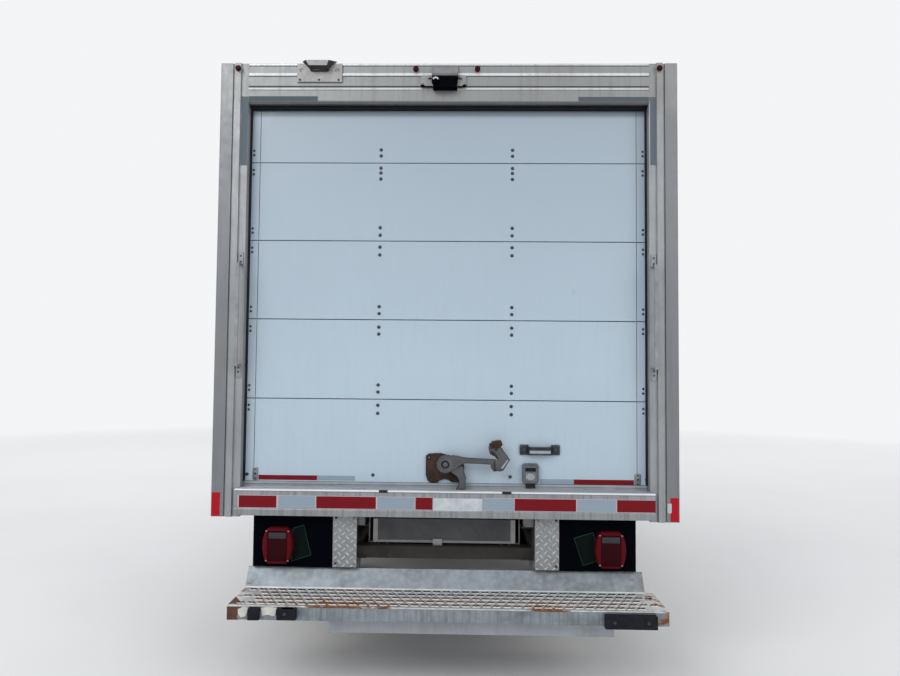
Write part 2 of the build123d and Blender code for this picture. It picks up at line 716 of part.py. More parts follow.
# Nose: fenders, hood, grille panel and lamps are one skin cut where the panels meet
def nose(inset, drop):
    """Nose volume, taken in by the skin."""
    half = cab_half_width - inset
    front = nose_front_y - inset
    bow_x = cab_half_width - 365
    edges = [
        Line((A + fender_rear_y, cab_skirt_z - drop), (A + fender_rear_y, fender_top_z - inset)),
        Line((A + fender_rear_y, fender_top_z - inset), (A + cowl_front_y + 2, hood_rear_z - inset)),
        Line((A + cowl_front_y + 2, hood_rear_z - inset), (A + hood_brow_y, hood_brow_z - inset)),
        ThreePointArc((A + hood_brow_y, hood_brow_z - inset),
                      (A + hood_brow_y + 115, hood_brow_z - 65 - inset), (A + front - 12, nose_knee_z)),
        Line((A + front - 12, nose_knee_z), (A + front, bumper_z1)),
        Line((A + front, bumper_z1), (A + front, cab_skirt_z - drop)),
        Line((A + front, cab_skirt_z - drop), (A + fender_rear_y, cab_skirt_z - drop)),
    ]
    volume = edges_along_x(edges, -half, half)
    top = [edge for edge in volume.edges()
           if abs(abs(edge.center().X) - half) < 0.1 and edge.center().Z > 1000
           and abs(edge.tangent_at(0.5).Z) < 0.9 and edge.center().Y > A + fender_rear_y + 7]
    volume = fillet(top, hood_edge_radius - inset)
    plan = [
        Line((-half, A - 700), (-half, A + 430)),
        ThreePointArc((-half, A + 430), (-half + 75, A + 660 - inset * 0.5), (-bow_x, A + front - 52)),
        ThreePointArc((-bow_x, A + front - 52), (0, A + front + 1), (bow_x, A + front - 52)),
        ThreePointArc((bow_x, A + front - 52), (half - 75, A + 660 - inset * 0.5), (half, A + 430)),
        Line((half, A + 430), (half, A - 700)),
        Line((half, A - 700), (-half, A - 700)),
    ]
    return volume & edges_along_z(plan, cab_skirt_z - drop - 5, hood_rear_z + 140)


past_x = cab_half_width + 95
skin = nose(0, 0) - nose(nose_skin, 60)
skin -= block(-past_x, past_x, A - 600, A + fender_rear_y + 1, 0, 2000)
skin -= block(20 - cab_half_width, cab_half_width - 20, A - 600, A + firewall_y, 0, 2000)
skin -= block(-past_x, past_x, A - 600, A + cowl_front_y + 1, fender_top_z + 1.8, 2000)
skin -= block(25 - cab_half_width, cab_half_width - 25, A - 600, A + cowl_front_y + 1, 0, 2000)
wheel_arch = rod((-past_x, A, tyre_radius), (past_x, A, tyre_radius), tyre_radius + arch_room)
hood_front_y = A + nose_front_y + 83
grille_rear_y = A + nose_front_y - 132
hood_zone = block(-hood_half_width, hood_half_width, A + hood_rear_y, hood_front_y,
                  grille_top_z + hood_gap, 1400)
hood_hole = block(-hood_half_width - hood_gap, hood_half_width + hood_gap, A + cowl_front_y + 1,
                  hood_front_y, grille_top_z, 1400)
front_zone = block(-past_x, past_x, grille_rear_y, hood_front_y, bumper_z1 + seat_gap, 2000)
hood = skin & hood_zone
for room in hood_room:
    hood -= room
for knuckle_part in hood_knuckles:
    hood += knuckle_part
node("hood", hood)

lamp_x0, lamp_x1, lamp_z0, lamp_z1 = cab_half_width - 430, cab_half_width - 100, 735.0, 935.0
lamp_depth = 32.0
lamp_zone = block(lamp_x0, lamp_x1, A + 500, hood_front_y, lamp_z0, lamp_z1)
fender_skin = skin - hood_hole - wheel_arch - both_sides(lamp_zone)
for room in hinge_fender_room:
    fender_skin -= both_sides(room)
for side_name, side in sides:
    half_zone = block(0, past_x, A - 600, grille_rear_y, 0, 2000)
    node(f"fender_{side_name}", (fender_skin - front_zone) & on_side(half_zone, side))

grille_half = cab_half_width - 465
grille_z0, grille_z1 = 720.0, 945.0
grille_bar = 18.0
grille_bars = 5
panel = (skin - hood_hole - both_sides(lamp_zone)) & front_zone
grille_opening = block(-grille_half, grille_half, A + 500, hood_front_y, grille_z0, grille_z1)
bar_pitch = (grille_z1 - grille_z0) / (grille_bars + 1)
grille = panel - grille_opening
for index in range(1, grille_bars + 1):
    z = grille_z0 + index * bar_pitch
    grille += skin & block(-grille_half - 5, grille_half + 5, A + 500, hood_front_y,
                           z - grille_bar / 2, z + grille_bar / 2)
node("grille_panel", grille)
lamp_body = (nose(0, 0) - Pos(0, -lamp_depth, 0) * nose(0, 60)) & lamp_zone
node("headlamps", lamp_body, mirror(lamp_body, about=Plane.YZ))

# Front bumper: a bowed channel in front of the nose, on brackets to the rails


def bumper_bow(shift):
    """Plan outline of the bumper's front, moved back by shift."""
    half = cab_half_width - 5 - shift
    front = front_overhang - shift
    bow_x = cab_half_width - 355
    return [
        Line((-half, A + 440), (-half, A + 520)),
        ThreePointArc((-half, A + 520), (-half + 70, A + 700 - shift * 0.5), (-bow_x, A + front - 55)),
        ThreePointArc((-bow_x, A + front - 55), (0, A + front), (bow_x, A + front - 55)),
        ThreePointArc((bow_x, A + front - 55), (half - 70, A + 700 - shift * 0.5), (half, A + 520)),
        Line((half, A + 520), (half, A + 440)),
        Line((half, A + 440), (-half, A + 440)),
    ]


bumper = edges_along_z(bumper_bow(0), bumper_z0, bumper_z1)
bumper -= edges_along_z(bumper_bow(14), bumper_z0 - 1, bumper_z1 + 1)
bumper -= block(-past_x, past_x, A + 400, A + 521, 0, 1000)
bumper -= nose(0, 60)
rail_front_y = front_axle_y + front_overhang - rail_front_inset
bracket = block(rail_inner_x + 10, rail_outer_x, rail_front_y, A + front_overhang - 30,
                rail_bottom_z + 20, bumper_z1 - 2)
bracket &= edges_along_z(bumper_bow(2), 0, 1000)
node("front_bumper", bumper + both_sides(bracket))


# Mirrors: a tall head on two arms from a foot on the door's skin
def mirror_unit():
    """Right-hand mirror."""
    y = A + door_front_y - 90
    foot = block(cab_half_width, cab_half_width + 16, y - 45, y + 45, 1035, 1145)
    head_x0 = cab_half_width + mirror_standoff
    arms = bar((cab_half_width + 12, y, 1060), (head_x0 + 40, y - 10, mirror_z0 + 20), mirror_arm_radius, 8)
    arms += bar((cab_half_width + 12, y, 1120), (head_x0 + 20, y - 10, mirror_z1 - 30), mirror_arm_radius, 8)
    head = along_y(soft_outline(head_x0, head_x0 + mirror_width, mirror_z0, mirror_z1, mirror_corner),
                   y - 50, y + 10)
    return foot + arms + head


for side_name, side in sides:
    node(f"mirror_{side_name}", on_side(mirror_unit(), side))

# Van body: long sills on the rails, cross sills on them, and the ramp's runners
ramp_half_width = 347.0
ramp_z0, ramp_z1 = 605.0, 721.0
ramp_length = 2950.0
ramp_rear_y = rear_y + 120


def body_underframe():
    """Long sills, cross sills and the two runners that carry the ramp."""
    sill_x0 = rail_outer_x - long_sill_width
    y0, y1 = rear_y + post_depth + 2, body_front_y - front_wall_thickness
    frame = both_sides(block(sill_x0, rail_outer_x, y0, y1, rail_top_z, cross_sill_z))
    count = int((y1 - y0 - 60) / cross_sill_pitch)
    for index in range(count + 1):
        y = y0 + index * cross_sill_pitch
        over_wheel = abs(y + 25 - rear_axle_y) < tyre_radius + 60
        half = 600 if over_wheel else wall_inner_x
        frame += block(-half, half, y, y + 50, cross_sill_z, floor_bottom_z)
    runner = block(ramp_half_width - 22, rail_inner_x - 1, ramp_rear_y + 20, ramp_rear_y + ramp_length,
                   ramp_z0 - 6.3, ramp_z0 - 0.3)
    runner += block(rail_inner_x - 7, rail_inner_x - 1, ramp_rear_y + 20, ramp_rear_y + ramp_length,
                    ramp_z0 - 6.3, cross_sill_z)
    return frame + both_sides(runner)


node("body_underframe", body_underframe())

wall_top_z = frame_top_z - roof_thickness
rail_lip = 6.0


def side_wall():
    """Right-hand wall with its bottom and top rails standing proud of the panel."""
    section = [
        (wall_inner_x, body_rail_bottom_z), (half_body, body_rail_bottom_z),
        (half_body, sill_top_z + 10), (half_body - rail_lip, sill_top_z + 22),
        (half_body - rail_lip, wall_top_z - 74), (half_body, wall_top_z - 62),
        (half_body, wall_top_z), (wall_inner_x, wall_top_z),
    ]
    return along_y(section, wall_rear_y, body_front_y - corner_radius)


for side_name, side in sides:
    node(f"side_wall_{side_name}", on_side(side_wall(), side))


def body_plan(x_half, y0, y1, radius):
    """Plan of the van body with rounded front corners."""
    bend = radius * (1 - math.sqrt(0.5))
    return [
        Line((-x_half, y0), (-x_half, y1 - radius)),
        ThreePointArc((-x_half, y1 - radius), (-x_half + bend, y1 - bend), (-x_half + radius, y1)),
        Line((-x_half + radius, y1), (x_half - radius, y1)),
        ThreePointArc((x_half - radius, y1), (x_half - bend, y1 - bend), (x_half, y1 - radius)),
        Line((x_half, y1 - radius), (x_half, y0)),
        Line((x_half, y0), (-x_half, y0)),
    ]


front_wall = edges_along_z(body_plan(half_body, body_front_y - corner_radius, body_front_y,
                                     corner_radius - 1), body_rail_bottom_z, wall_top_z)
front_wall -= edges_along_z(body_plan(wall_inner_x, body_front_y - corner_radius - 1,
                                      body_front_y - front_wall_thickness,
                                      corner_radius - wall_thickness), 0, 4000)
node("front_wall", front_wall)

load_floor = edges_along_z(body_plan(wall_inner_x, wall_rear_y, body_front_y - front_wall_thickness,
                                     corner_radius - wall_thickness), floor_bottom_z, sill_top_z)
node("load_floor", load_floor)

roof = edges_along_z(body_plan(half_body, wall_rear_y, body_front_y, corner_radius - 1),
                     wall_top_z, frame_top_z)
roof = chamfer(roof.faces().sort_by(Axis.Z)[-1].edges().filter_by(
    lambda edge: edge.center().Y > wall_rear_y + 10), 14)
node("body_roof", roof)

# Rear frame posts: outer band, groove, proud ridge and inner band
post_section = (
    # distance in from the outer face, depth back from the frame's face
    (0.0, 4.0), (4.0, 0.0), (60.0, 0.0), (62.0, 7.0), (69.0, 7.0), (71.0, -6.0),
    (100.0, -6.0), (104.0, 4.0), (137.0, 4.0), (137.0, 60.0), (0.0, 60.0),
)
post_foot_z = sill_top_z - sill_height - 12
post = along_z([(half_body - inset, rear_y + depth) for inset, depth in post_section],
               post_foot_z, frame_top_z)
post -= block(0, sill_half_width + seat_gap, rear_y - 30, rear_y + 4, 0, sill_top_z + 2)
node("rear_posts", post, mirror(post, about=Plane.YZ))

header_points = [(rear_y + depth, frame_top_z - drop) for drop, depth in header_section]
header_points += [(wall_rear_y, frame_top_z - header_height), (wall_rear_y, frame_top_z)]
node("rear_header", along_x(header_points, -post_inner_x, post_inner_x))

# Rear sill: small rounded nose, flat band and drip lip, let in between the posts
sill_bottom_z = sill_top_z - sill_height
sill_section = (
    # place behind the frame's face, drop below the sill's top
    (0.0, 0.0), (16.0, 0.0), (22.0, 2.0), (23.0, 6.0), (20.0, 9.0), (20.0, 91.0), (23.0, 96.0),
    (23.0, sill_height), (0.0, sill_height),
)
sill_points = [(rear_y - proud, sill_top_z - drop) for proud, drop in sill_section]
sill = along_x(sill_points, -sill_half_width, sill_half_width)
sill += block(-post_inner_x, post_inner_x, rear_y, wall_rear_y, sill_bottom_z, sill_top_z)
node("rear_sill", sill)

# Roll-up door: hinged panels, closed, behind the posts and header
panels = []
door_bottom_z_level = sill_top_z + seat_gap
seam = 4.0
for index in range(door_panels):
    z0 = door_bottom_z_level if index == 0 else sill_top_z + door_bottom_lift + index * door_panel_pitch + 16
    z1 = sill_top_z + door_bottom_lift + (index + 1) * door_panel_pitch + 16 - seam
    panels.append(block(-door_half_width, door_half_width, door_face_y, door_face_y + door_thickness,
                        z0, min(z1, wall_top_z - 2)))
hinge_leaves = []
for index in range(1, door_panels):
    z = sill_top_z + door_bottom_lift + index * door_panel_pitch + 14
    for x in (-325, 325):
        hinge_leaves.append(block(x - 40, x + 40, door_face_y + door_thickness,
                                  door_face_y + door_thickness + 4, z - 55, z + 55))
foot_height, foot_proud = 26.0, 4.0
door_foot = block(-post_inner_x + 2, post_inner_x - 2, door_face_y - foot_proud, door_face_y,
                  door_bottom_z_level, sill_top_z + foot_height)
door = panels[0]
for piece in panels[1:] + hinge_leaves + [door_foot]:
    door = door + piece
node("roll_door", door)

# Door latch: base plate, boss, lever and hooked grip, with the pull handle and second lock
latch_boss_x, latch_boss_z = 6.0, sill_top_z + 121
boss_radius, boss_depth = 40.0, 60.0
recess_radius, latch_pin_radius = 19.0, 12.0
lever_depth = 12.0


def outline_piece(points, x, z, depth_from, depth_to):
    """A plate with its outline given across and up from (x, z), standing off the door's face."""
    placed = [(x + across, z + up) for across, up in points]
    return along_y(placed, door_face_y - depth_to, door_face_y - depth_from)


def door_latch():
    """Swinging latch: plate on the door, turned boss, tapering lever, hooked grip and keeper leg."""
    x, z = latch_boss_x, latch_boss_z
    plate = outline_piece([
        (-94, -56), (-86, -82), (-70, -93), (-38, -91), (-28, -82), (-8, -75), (12, -77), (30, -88),
        (74, -90), (90, -14), (88, 20), (-20, 48), (-50, 47), (-81, 44), (-94, 35),
    ], x, z, 0, 8)
    end_y = door_face_y - boss_depth
    boss = bar((x, end_y, z), (x, door_face_y - 4, z), boss_radius, 24)
    boss -= bar((x, end_y - 1, z), (x, end_y + 6, z), recess_radius, 16)
    boss += bar((x, end_y - 4, z), (x, end_y + 8, z), latch_pin_radius)
    lever = outline_piece([
        (10, 40), (38, 44), (63, 40), (94, 34), (211, 28), (240, 27), (245, 14), (246, -27), (232, -31),
        (217, -14), (216, 3), (94, 8), (79, 0), (58, -14), (28, -30),
    ], x, z, boss_depth - lever_depth - 6, boss_depth - 4)
    grip = outline_piece([
        (205, 86), (209, 102), (237, 111), (248, 115), (262, 114), (267, 102), (262, 86), (306, 27),
        (274, -24), (256, -28), (238, -24), (234, 20), (248, 28), (237, 42), (214, 52), (207, 70),
    ], x, z, boss_depth - 6, boss_depth + 4)
    slit = [(262, -14), (294, 28), (300, 24), (274, -15)]
    grip -= outline_piece(slit, x, z, boss_depth - 7, boss_depth + 5)
    leg = outline_piece([
        (30, -6), (86, -9), (88, -39), (99, -62), (95, -116), (52, -116), (63, -98), (66, -77), (58, -57),
        (36, -42), (24, -30),
    ], x, z, 8, boss_depth - 10)
    leg -= outline_piece([(0, -122), (120, -122), (120, -50), (0, -50)], x, z, 8, boss_depth - 26)
    return plate + boss + lever + grip + leg


def pull_handle():
    """Bent strap between two taller flat feet."""
    x0, x1, z0, z1 = 363.0, 554.0, sill_top_z + 166, sill_top_z + 214
    foot = 40.0
    path = [
        (x0, door_face_y), (x0, door_face_y - 8), (x0 + foot - 8, door_face_y - 8),
        (x0 + foot + 4, door_face_y - 26), (x1 - foot - 4, door_face_y - 26),
        (x1 - foot + 8, door_face_y - 8), (x1, door_face_y - 8), (x1, door_face_y),
        (x1 - foot, door_face_y), (x1 - foot - 10, door_face_y - 18), (x0 + foot + 10, door_face_y - 18),
        (x0 + foot, door_face_y),
    ]
    gap = block(x0 + foot, x1 - foot, door_face_y - 30, door_face_y, z1 - 9, z1 + 1)
    return along_z(path, z0, z1) - gap


def second_lock():
    """Upright lock case with a slot and a keeper tab below."""
    x0, x1, z0, z1 = 374.0, 453.0, sill_top_z + 30, sill_top_z + 125
    case = along_y(soft_outline(x0, x1, z0, z1, 12), door_face_y - 20, door_face_y)
    case -= block(x0 + 14, x1 - 14, door_face_y - 21, door_face_y - 8, z1 - 38, z1 - 20)
    tab = block(x0 + 17, x1 - 16, door_face_y - 12, door_face_y - 4, sill_top_z + 9, z0 + 2)
    return case + tab


node("door_latch", door_latch(), pull_handle(), second_lock())


# Grab handles: a flat strap on two feet, one on each post
def grab_handle():
    """Right-hand strap handle, bent back at its ends to a screwed foot."""
    band_y, bar_y, x = rear_y + 4, rear_y - 44, half_body - 118
    handle = block(x - 8, x + 8, bar_y - 3, bar_y + 3, grab_z0 - 4, grab_z1 + 4)
    for end_z, outwards in ((grab_z0, -1), (grab_z1, 1)):
        foot = sorted((end_z - outwards * 6, end_z + outwards * grab_foot))
        handle += block(x - 12, x + 12, band_y - 5, band_y, *foot)
        handle += block(x - 8, x + 8, bar_y - 3, band_y - 2, end_z - 4, end_z + 4)
    return handle


handle = grab_handle()
node("grab_handles", handle, mirror(handle, about=Plane.YZ))

# Marker lamps on the header, the posts, the body's bottom rails and its front corners
marker_z = frame_top_z - 29
marker_radius, marker_proud = 14.0, 10.0
outer_marker_x = half_body - 88
side_marker_z = sill_top_z - 62
side_marker_height, side_marker_proud = 26.0, 12.0
marker_places = (
    # middle across, place of the lamp's back
    (-155.0, rear_y + 4), (145.0, rear_y + 4),
    (-outer_marker_x, rear_y - 6), (outer_marker_x, rear_y - 6),
)
markers = [bar((x, back_y - marker_proud, marker_z), (x, back_y, marker_z), marker_radius)
           for x, back_y in marker_places]
for y0, y1 in ((wall_rear_y + 60, wall_rear_y + 130), (body_front_y - 260, body_front_y - 190)):
    markers += [block(*sorted((side * half_body, side * (half_body + side_marker_proud))), y0, y1,
                      side_marker_z, side_marker_z + side_marker_height) for side in (-1, 1)]
front_marker_z = wall_top_z - 60
markers += [block(x - 45, x + 45, body_front_y, body_front_y + side_marker_proud,
                  front_marker_z, front_marker_z + side_marker_height)
            for x in (-outer_marker_x + 120, outer_marker_x - 120)]
node("marker_lamps", *markers)

# Rear camera under its hood plate in the middle of the header
camera_x0, camera_x1 = -73.0, 51.0
camera_hood = along_x([
    # place, height
    (rear_y + 4, frame_top_z - 15), (rear_y - 3, frame_top_z - 16), (rear_y - 46, frame_top_z - 68),
    (rear_y - 46, frame_top_z - 80), (rear_y + 4, frame_top_z - 80),
], camera_x0, camera_x1)
camera = camera_hood + block(camera_x0 + 4, camera_x1 - 4, rear_y - 42, rear_y + 2,
                             frame_top_z - 135, frame_top_z - 80)
camera += block(camera_x0 - 56, camera_x1 + 39, rear_y - 10, rear_y + 2,
                frame_top_z - 116, frame_top_z - 64)
node("rear_camera", camera - along_x(header_points, -200, 200))

# Bracket plate with a scoop on the header
plate_x = 239 - post_inner_x
plate_width, plate_low, plate_thickness = 220.0, 94.0, 5.0
plate_front_y = rear_y - plate_thickness
bracket_plate = block(plate_x, plate_x + plate_width, plate_front_y, rear_y,
                      frame_top_z - plate_low, frame_top_z - 4)
scoop_depth = 40.0
scoop_sections = (
    # corners across from the plate's left edge and up from the frame's top, then place
    (((23.0, 6.0), (196.0, 6.0), (153.0, -38.0), (68.0, -38.0)), plate_front_y + 1),
    (((49.0, -3.0), (160.0, -3.0), (152.0, -29.0), (64.0, -29.0)), plate_front_y - scoop_depth),
)
bracket_plate += loft([
    Plane(origin=(0, y, 0), x_dir=(1, 0, 0), z_dir=(0, -1, 0)) * make_face(Polyline(
        *[(plate_x + across, frame_top_z + up) for across, up in corners], close=True))
    for corners, y in scoop_sections
], ruled=True)
node("header_bracket", bracket_plate - along_x(header_points, plate_x - 60, plate_x + 280))

# Lamp panels, tail lamps and tread strips under the sill
panel_y = rear_y + 34
panel_bottom_z = sill_top_z - 376
panel_inner_x, panel_outer_x = 532.0, half_body - 198
lamp_panel = block(panel_inner_x, panel_outer_x, panel_y, panel_y + 6, panel_bottom_z, sill_bottom_z)
node("lamp_panels", lamp_panel, mirror(lamp_panel, about=Plane.YZ))

lamp_centre_x = half_body - 323
lamp_low_z, lamp_high_z = sill_top_z - 354, sill_top_z - 186
lamp_belly, lamp_end_half = 72.0, 56.0
lamp_corner = 14.0
lamp_face_half = 45.0
lamp_recess = 4.0


def tail_lamp(x):
    """Barrel-sided lamp with a raised frame about its face."""
    low, high, middle = lamp_low_z, lamp_high_z, (lamp_low_z + lamp_high_z) / 2
    inner, outer = lamp_end_half - lamp_corner, lamp_end_half
    cut_low, cut_high = low + lamp_corner, high - lamp_corner
    edges = [
        Line((x - inner, low), (x + inner, low)),
        Line((x + inner, low), (x + outer, cut_low)),
        ThreePointArc((x + outer, cut_low), (x + lamp_belly, middle), (x + outer, cut_high)),
        Line((x + outer, cut_high), (x + inner, high)),
        Line((x + inner, high), (x - inner, high)),
        Line((x - inner, high), (x - outer, cut_high)),
        ThreePointArc((x - outer, cut_high), (x - lamp_belly, middle), (x - outer, cut_low)),
        Line((x - outer, cut_low), (x - inner, low)),
    ]
    lamp = edges_along_y(edges, panel_y - 34, panel_y)
    return lamp - block(x - lamp_face_half, x + lamp_face_half, panel_y - 35, panel_y - 34 + lamp_recess,
                        low + 12, high - 16)


tail_lamps = [tail_lamp(-lamp_centre_x), tail_lamp(lamp_centre_x)]
node("tail_lamps", *tail_lamps)

strips = [block(x0, x1, panel_y - 8, panel_y, sill_top_z - 373, sill_bottom_z)
          for x0, x1 in ((-528, -414), (434, 548))]
node("tread_strips", *strips)


# Walk ramp: ladder with a deck, stowed between the rails
def walk_ramp():
    """Two side rails, a thin deck, end rails and rungs below the deck."""
    y0, y1 = ramp_rear_y, ramp_rear_y + ramp_length
    ramp = block(-ramp_half_width, ramp_half_width, y0, y1, ramp_z1 - 10, ramp_z1 - 4)
    ramp += both_sides(block(ramp_half_width - 25, ramp_half_width, y0, y1, ramp_z0, ramp_z1))
    ramp += block(-ramp_half_width, ramp_half_width, y0, y0 + 5, ramp_z0 + 14, ramp_z1)
    ramp += block(-ramp_half_width, ramp_half_width, y0, y0 + 30, ramp_z0, ramp_z0 + 14)
    rungs = 10
    for index in range(1, rungs + 1):
        y = y0 + index * (ramp_length - 30) / rungs
        ramp += block(-ramp_half_width, ramp_half_width, y, y + 25, ramp_z1 - 40, ramp_z1 - 10)
    return ramp


node("walk_ramp", walk_ramp())


# Rear step bumper: perforated tread, leaning riser, front lip, arms and under bar
step_lip_y = rear_y - step_depth
arm_x0, arm_x1 = rail_outer_x, rail_outer_x + 8
arm_front_y = rear_y + 300
arm_back_y = rear_y - 190
arm_low_z = 300.0
under_bar_x0, under_bar_x1 = -500.0, 760.0
under_bar_z0, under_bar_z1 = 282.0, 332.0
slot_rows, slot_columns = 5, 20
slot_length, slot_width = 52.0, 10.0
slot_margin = 34.0


def step_bumper():
    """Folded step with staggered slots, carried by two arms on the rails."""
    top = step_top_z
    under = top - step_plate
    riser_top = top + riser_height
    fold = [
        (rear_y + riser_lean, riser_top), (rear_y, top), (step_lip_y, top),
        (step_lip_y, top - step_lip_height), (step_lip_y + step_plate, top - step_lip_height),
        (step_lip_y + step_plate, under), (rear_y + step_plate, under),
        (rear_y + riser_lean + step_plate, riser_top),
    ]
    step = along_x(fold, step_x0, step_x1)
    step -= block(riser_x1, step_x1 + 1, rear_y, rear_y + riser_lean + 2 * step_plate, top, riser_top + 1)
    row_pitch = (step_depth - 2 * slot_margin) / (slot_rows - 1)
    column_pitch = (step_x1 - step_x0 - 2 * slot_margin) / (slot_columns + 0.5)
    for row in range(slot_rows):
        y = step_lip_y + slot_margin + row * row_pitch
        for column in range(slot_columns):
            x = step_x0 + slot_margin + (column + 0.5 * (row % 2)) * column_pitch
            over_arm = x - slot_width < arm_x1 and x + slot_length + slot_width > arm_x0
            over_left_arm = x - slot_width < -arm_x0 and x + slot_length + slot_width > -arm_x1
            if not over_arm and not over_left_arm:
                step -= block(x, x + slot_length, y - slot_width / 2, y + slot_width / 2,
                              under - 1, top + 1)
    arm = block(arm_x0, arm_x1, rear_y + rail_rear_inset + 10, arm_front_y, top + 60, rail_top_z - 10)
    arm += along_x([
        (arm_front_y, top + 120), (arm_front_y, top + 60), (rear_y + 20, arm_low_z),
        (arm_back_y, arm_low_z), (arm_back_y, under), (rear_y + step_plate, under),
        (rear_y + riser_lean + step_plate, riser_top),
    ], arm_x0, arm_x1)
    step += both_sides(arm)
    step += block(under_bar_x0, under_bar_x1, arm_back_y, arm_back_y + 50, under_bar_z0, under_bar_z1)
    return step


node("step_bumper", step_bumper())

# Rubber pads on the bumper's lip: a block on the right, torn remains on the left
pad_front_y = rear_y - step_depth - pad_thickness
pads = [block(706, 928, pad_front_y, rear_y - step_depth, 349, 404)]
pads.append(block(-838, -790, pad_front_y + 6, rear_y - step_depth, 360, 408))
pads.append(block(-712, -629, pad_front_y + 6, rear_y - step_depth, 362, 410))
node("bumper_pads", *pads)

print("length", overall_length, "rear", rear_y, "axles", rear_axle_y, front_axle_y)
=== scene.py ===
import json
import math
import random

import bmesh
import bpy
from mathutils import Matrix, Vector


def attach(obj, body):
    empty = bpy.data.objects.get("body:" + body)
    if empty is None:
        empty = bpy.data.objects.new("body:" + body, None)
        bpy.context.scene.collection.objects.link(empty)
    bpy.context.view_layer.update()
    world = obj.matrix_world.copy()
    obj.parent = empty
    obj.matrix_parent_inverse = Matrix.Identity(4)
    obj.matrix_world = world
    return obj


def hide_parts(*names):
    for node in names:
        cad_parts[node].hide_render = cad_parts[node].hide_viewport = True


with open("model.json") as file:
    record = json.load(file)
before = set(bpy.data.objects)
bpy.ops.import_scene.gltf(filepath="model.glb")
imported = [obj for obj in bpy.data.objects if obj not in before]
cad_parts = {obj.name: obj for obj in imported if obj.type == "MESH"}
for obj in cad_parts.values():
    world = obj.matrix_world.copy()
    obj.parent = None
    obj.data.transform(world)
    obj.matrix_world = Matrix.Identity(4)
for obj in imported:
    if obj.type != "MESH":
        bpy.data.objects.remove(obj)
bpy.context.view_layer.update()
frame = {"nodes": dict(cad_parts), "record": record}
random.seed(7)
nodes = frame["nodes"]

# Places of the truck, in metres
REAR = -2.930
SILL = 0.880
TOP = 2.941
DOOR_Y = REAR + 0.0603
PANEL_Y = REAR + 0.034
SILL_Y = REAR - 0.020
FRONT_AXLE = 2.355
REAR_AXLE = -1.176
TYRE_R = 0.372
TRACK = 0.865
STEP_TOP = 0.414
STEP_DEPTH = 0.254
STEP_LIP = REAR - STEP_DEPTH
CAB_HALF = 1.005
HALF_BODY = 1.110
DOORS = ((-1, "door_left"), (1, "door_right"))


def srgb(red, green, blue):
    """An 8-bit display colour as the shader's linear one."""
    out = []
    for value in (red, green, blue):
        value /= 255
        out.append(value / 12.92 if value <= 0.04045 else ((value + 0.055) / 1.055) ** 2.4)
    return (*out, 1.0)


M = {}


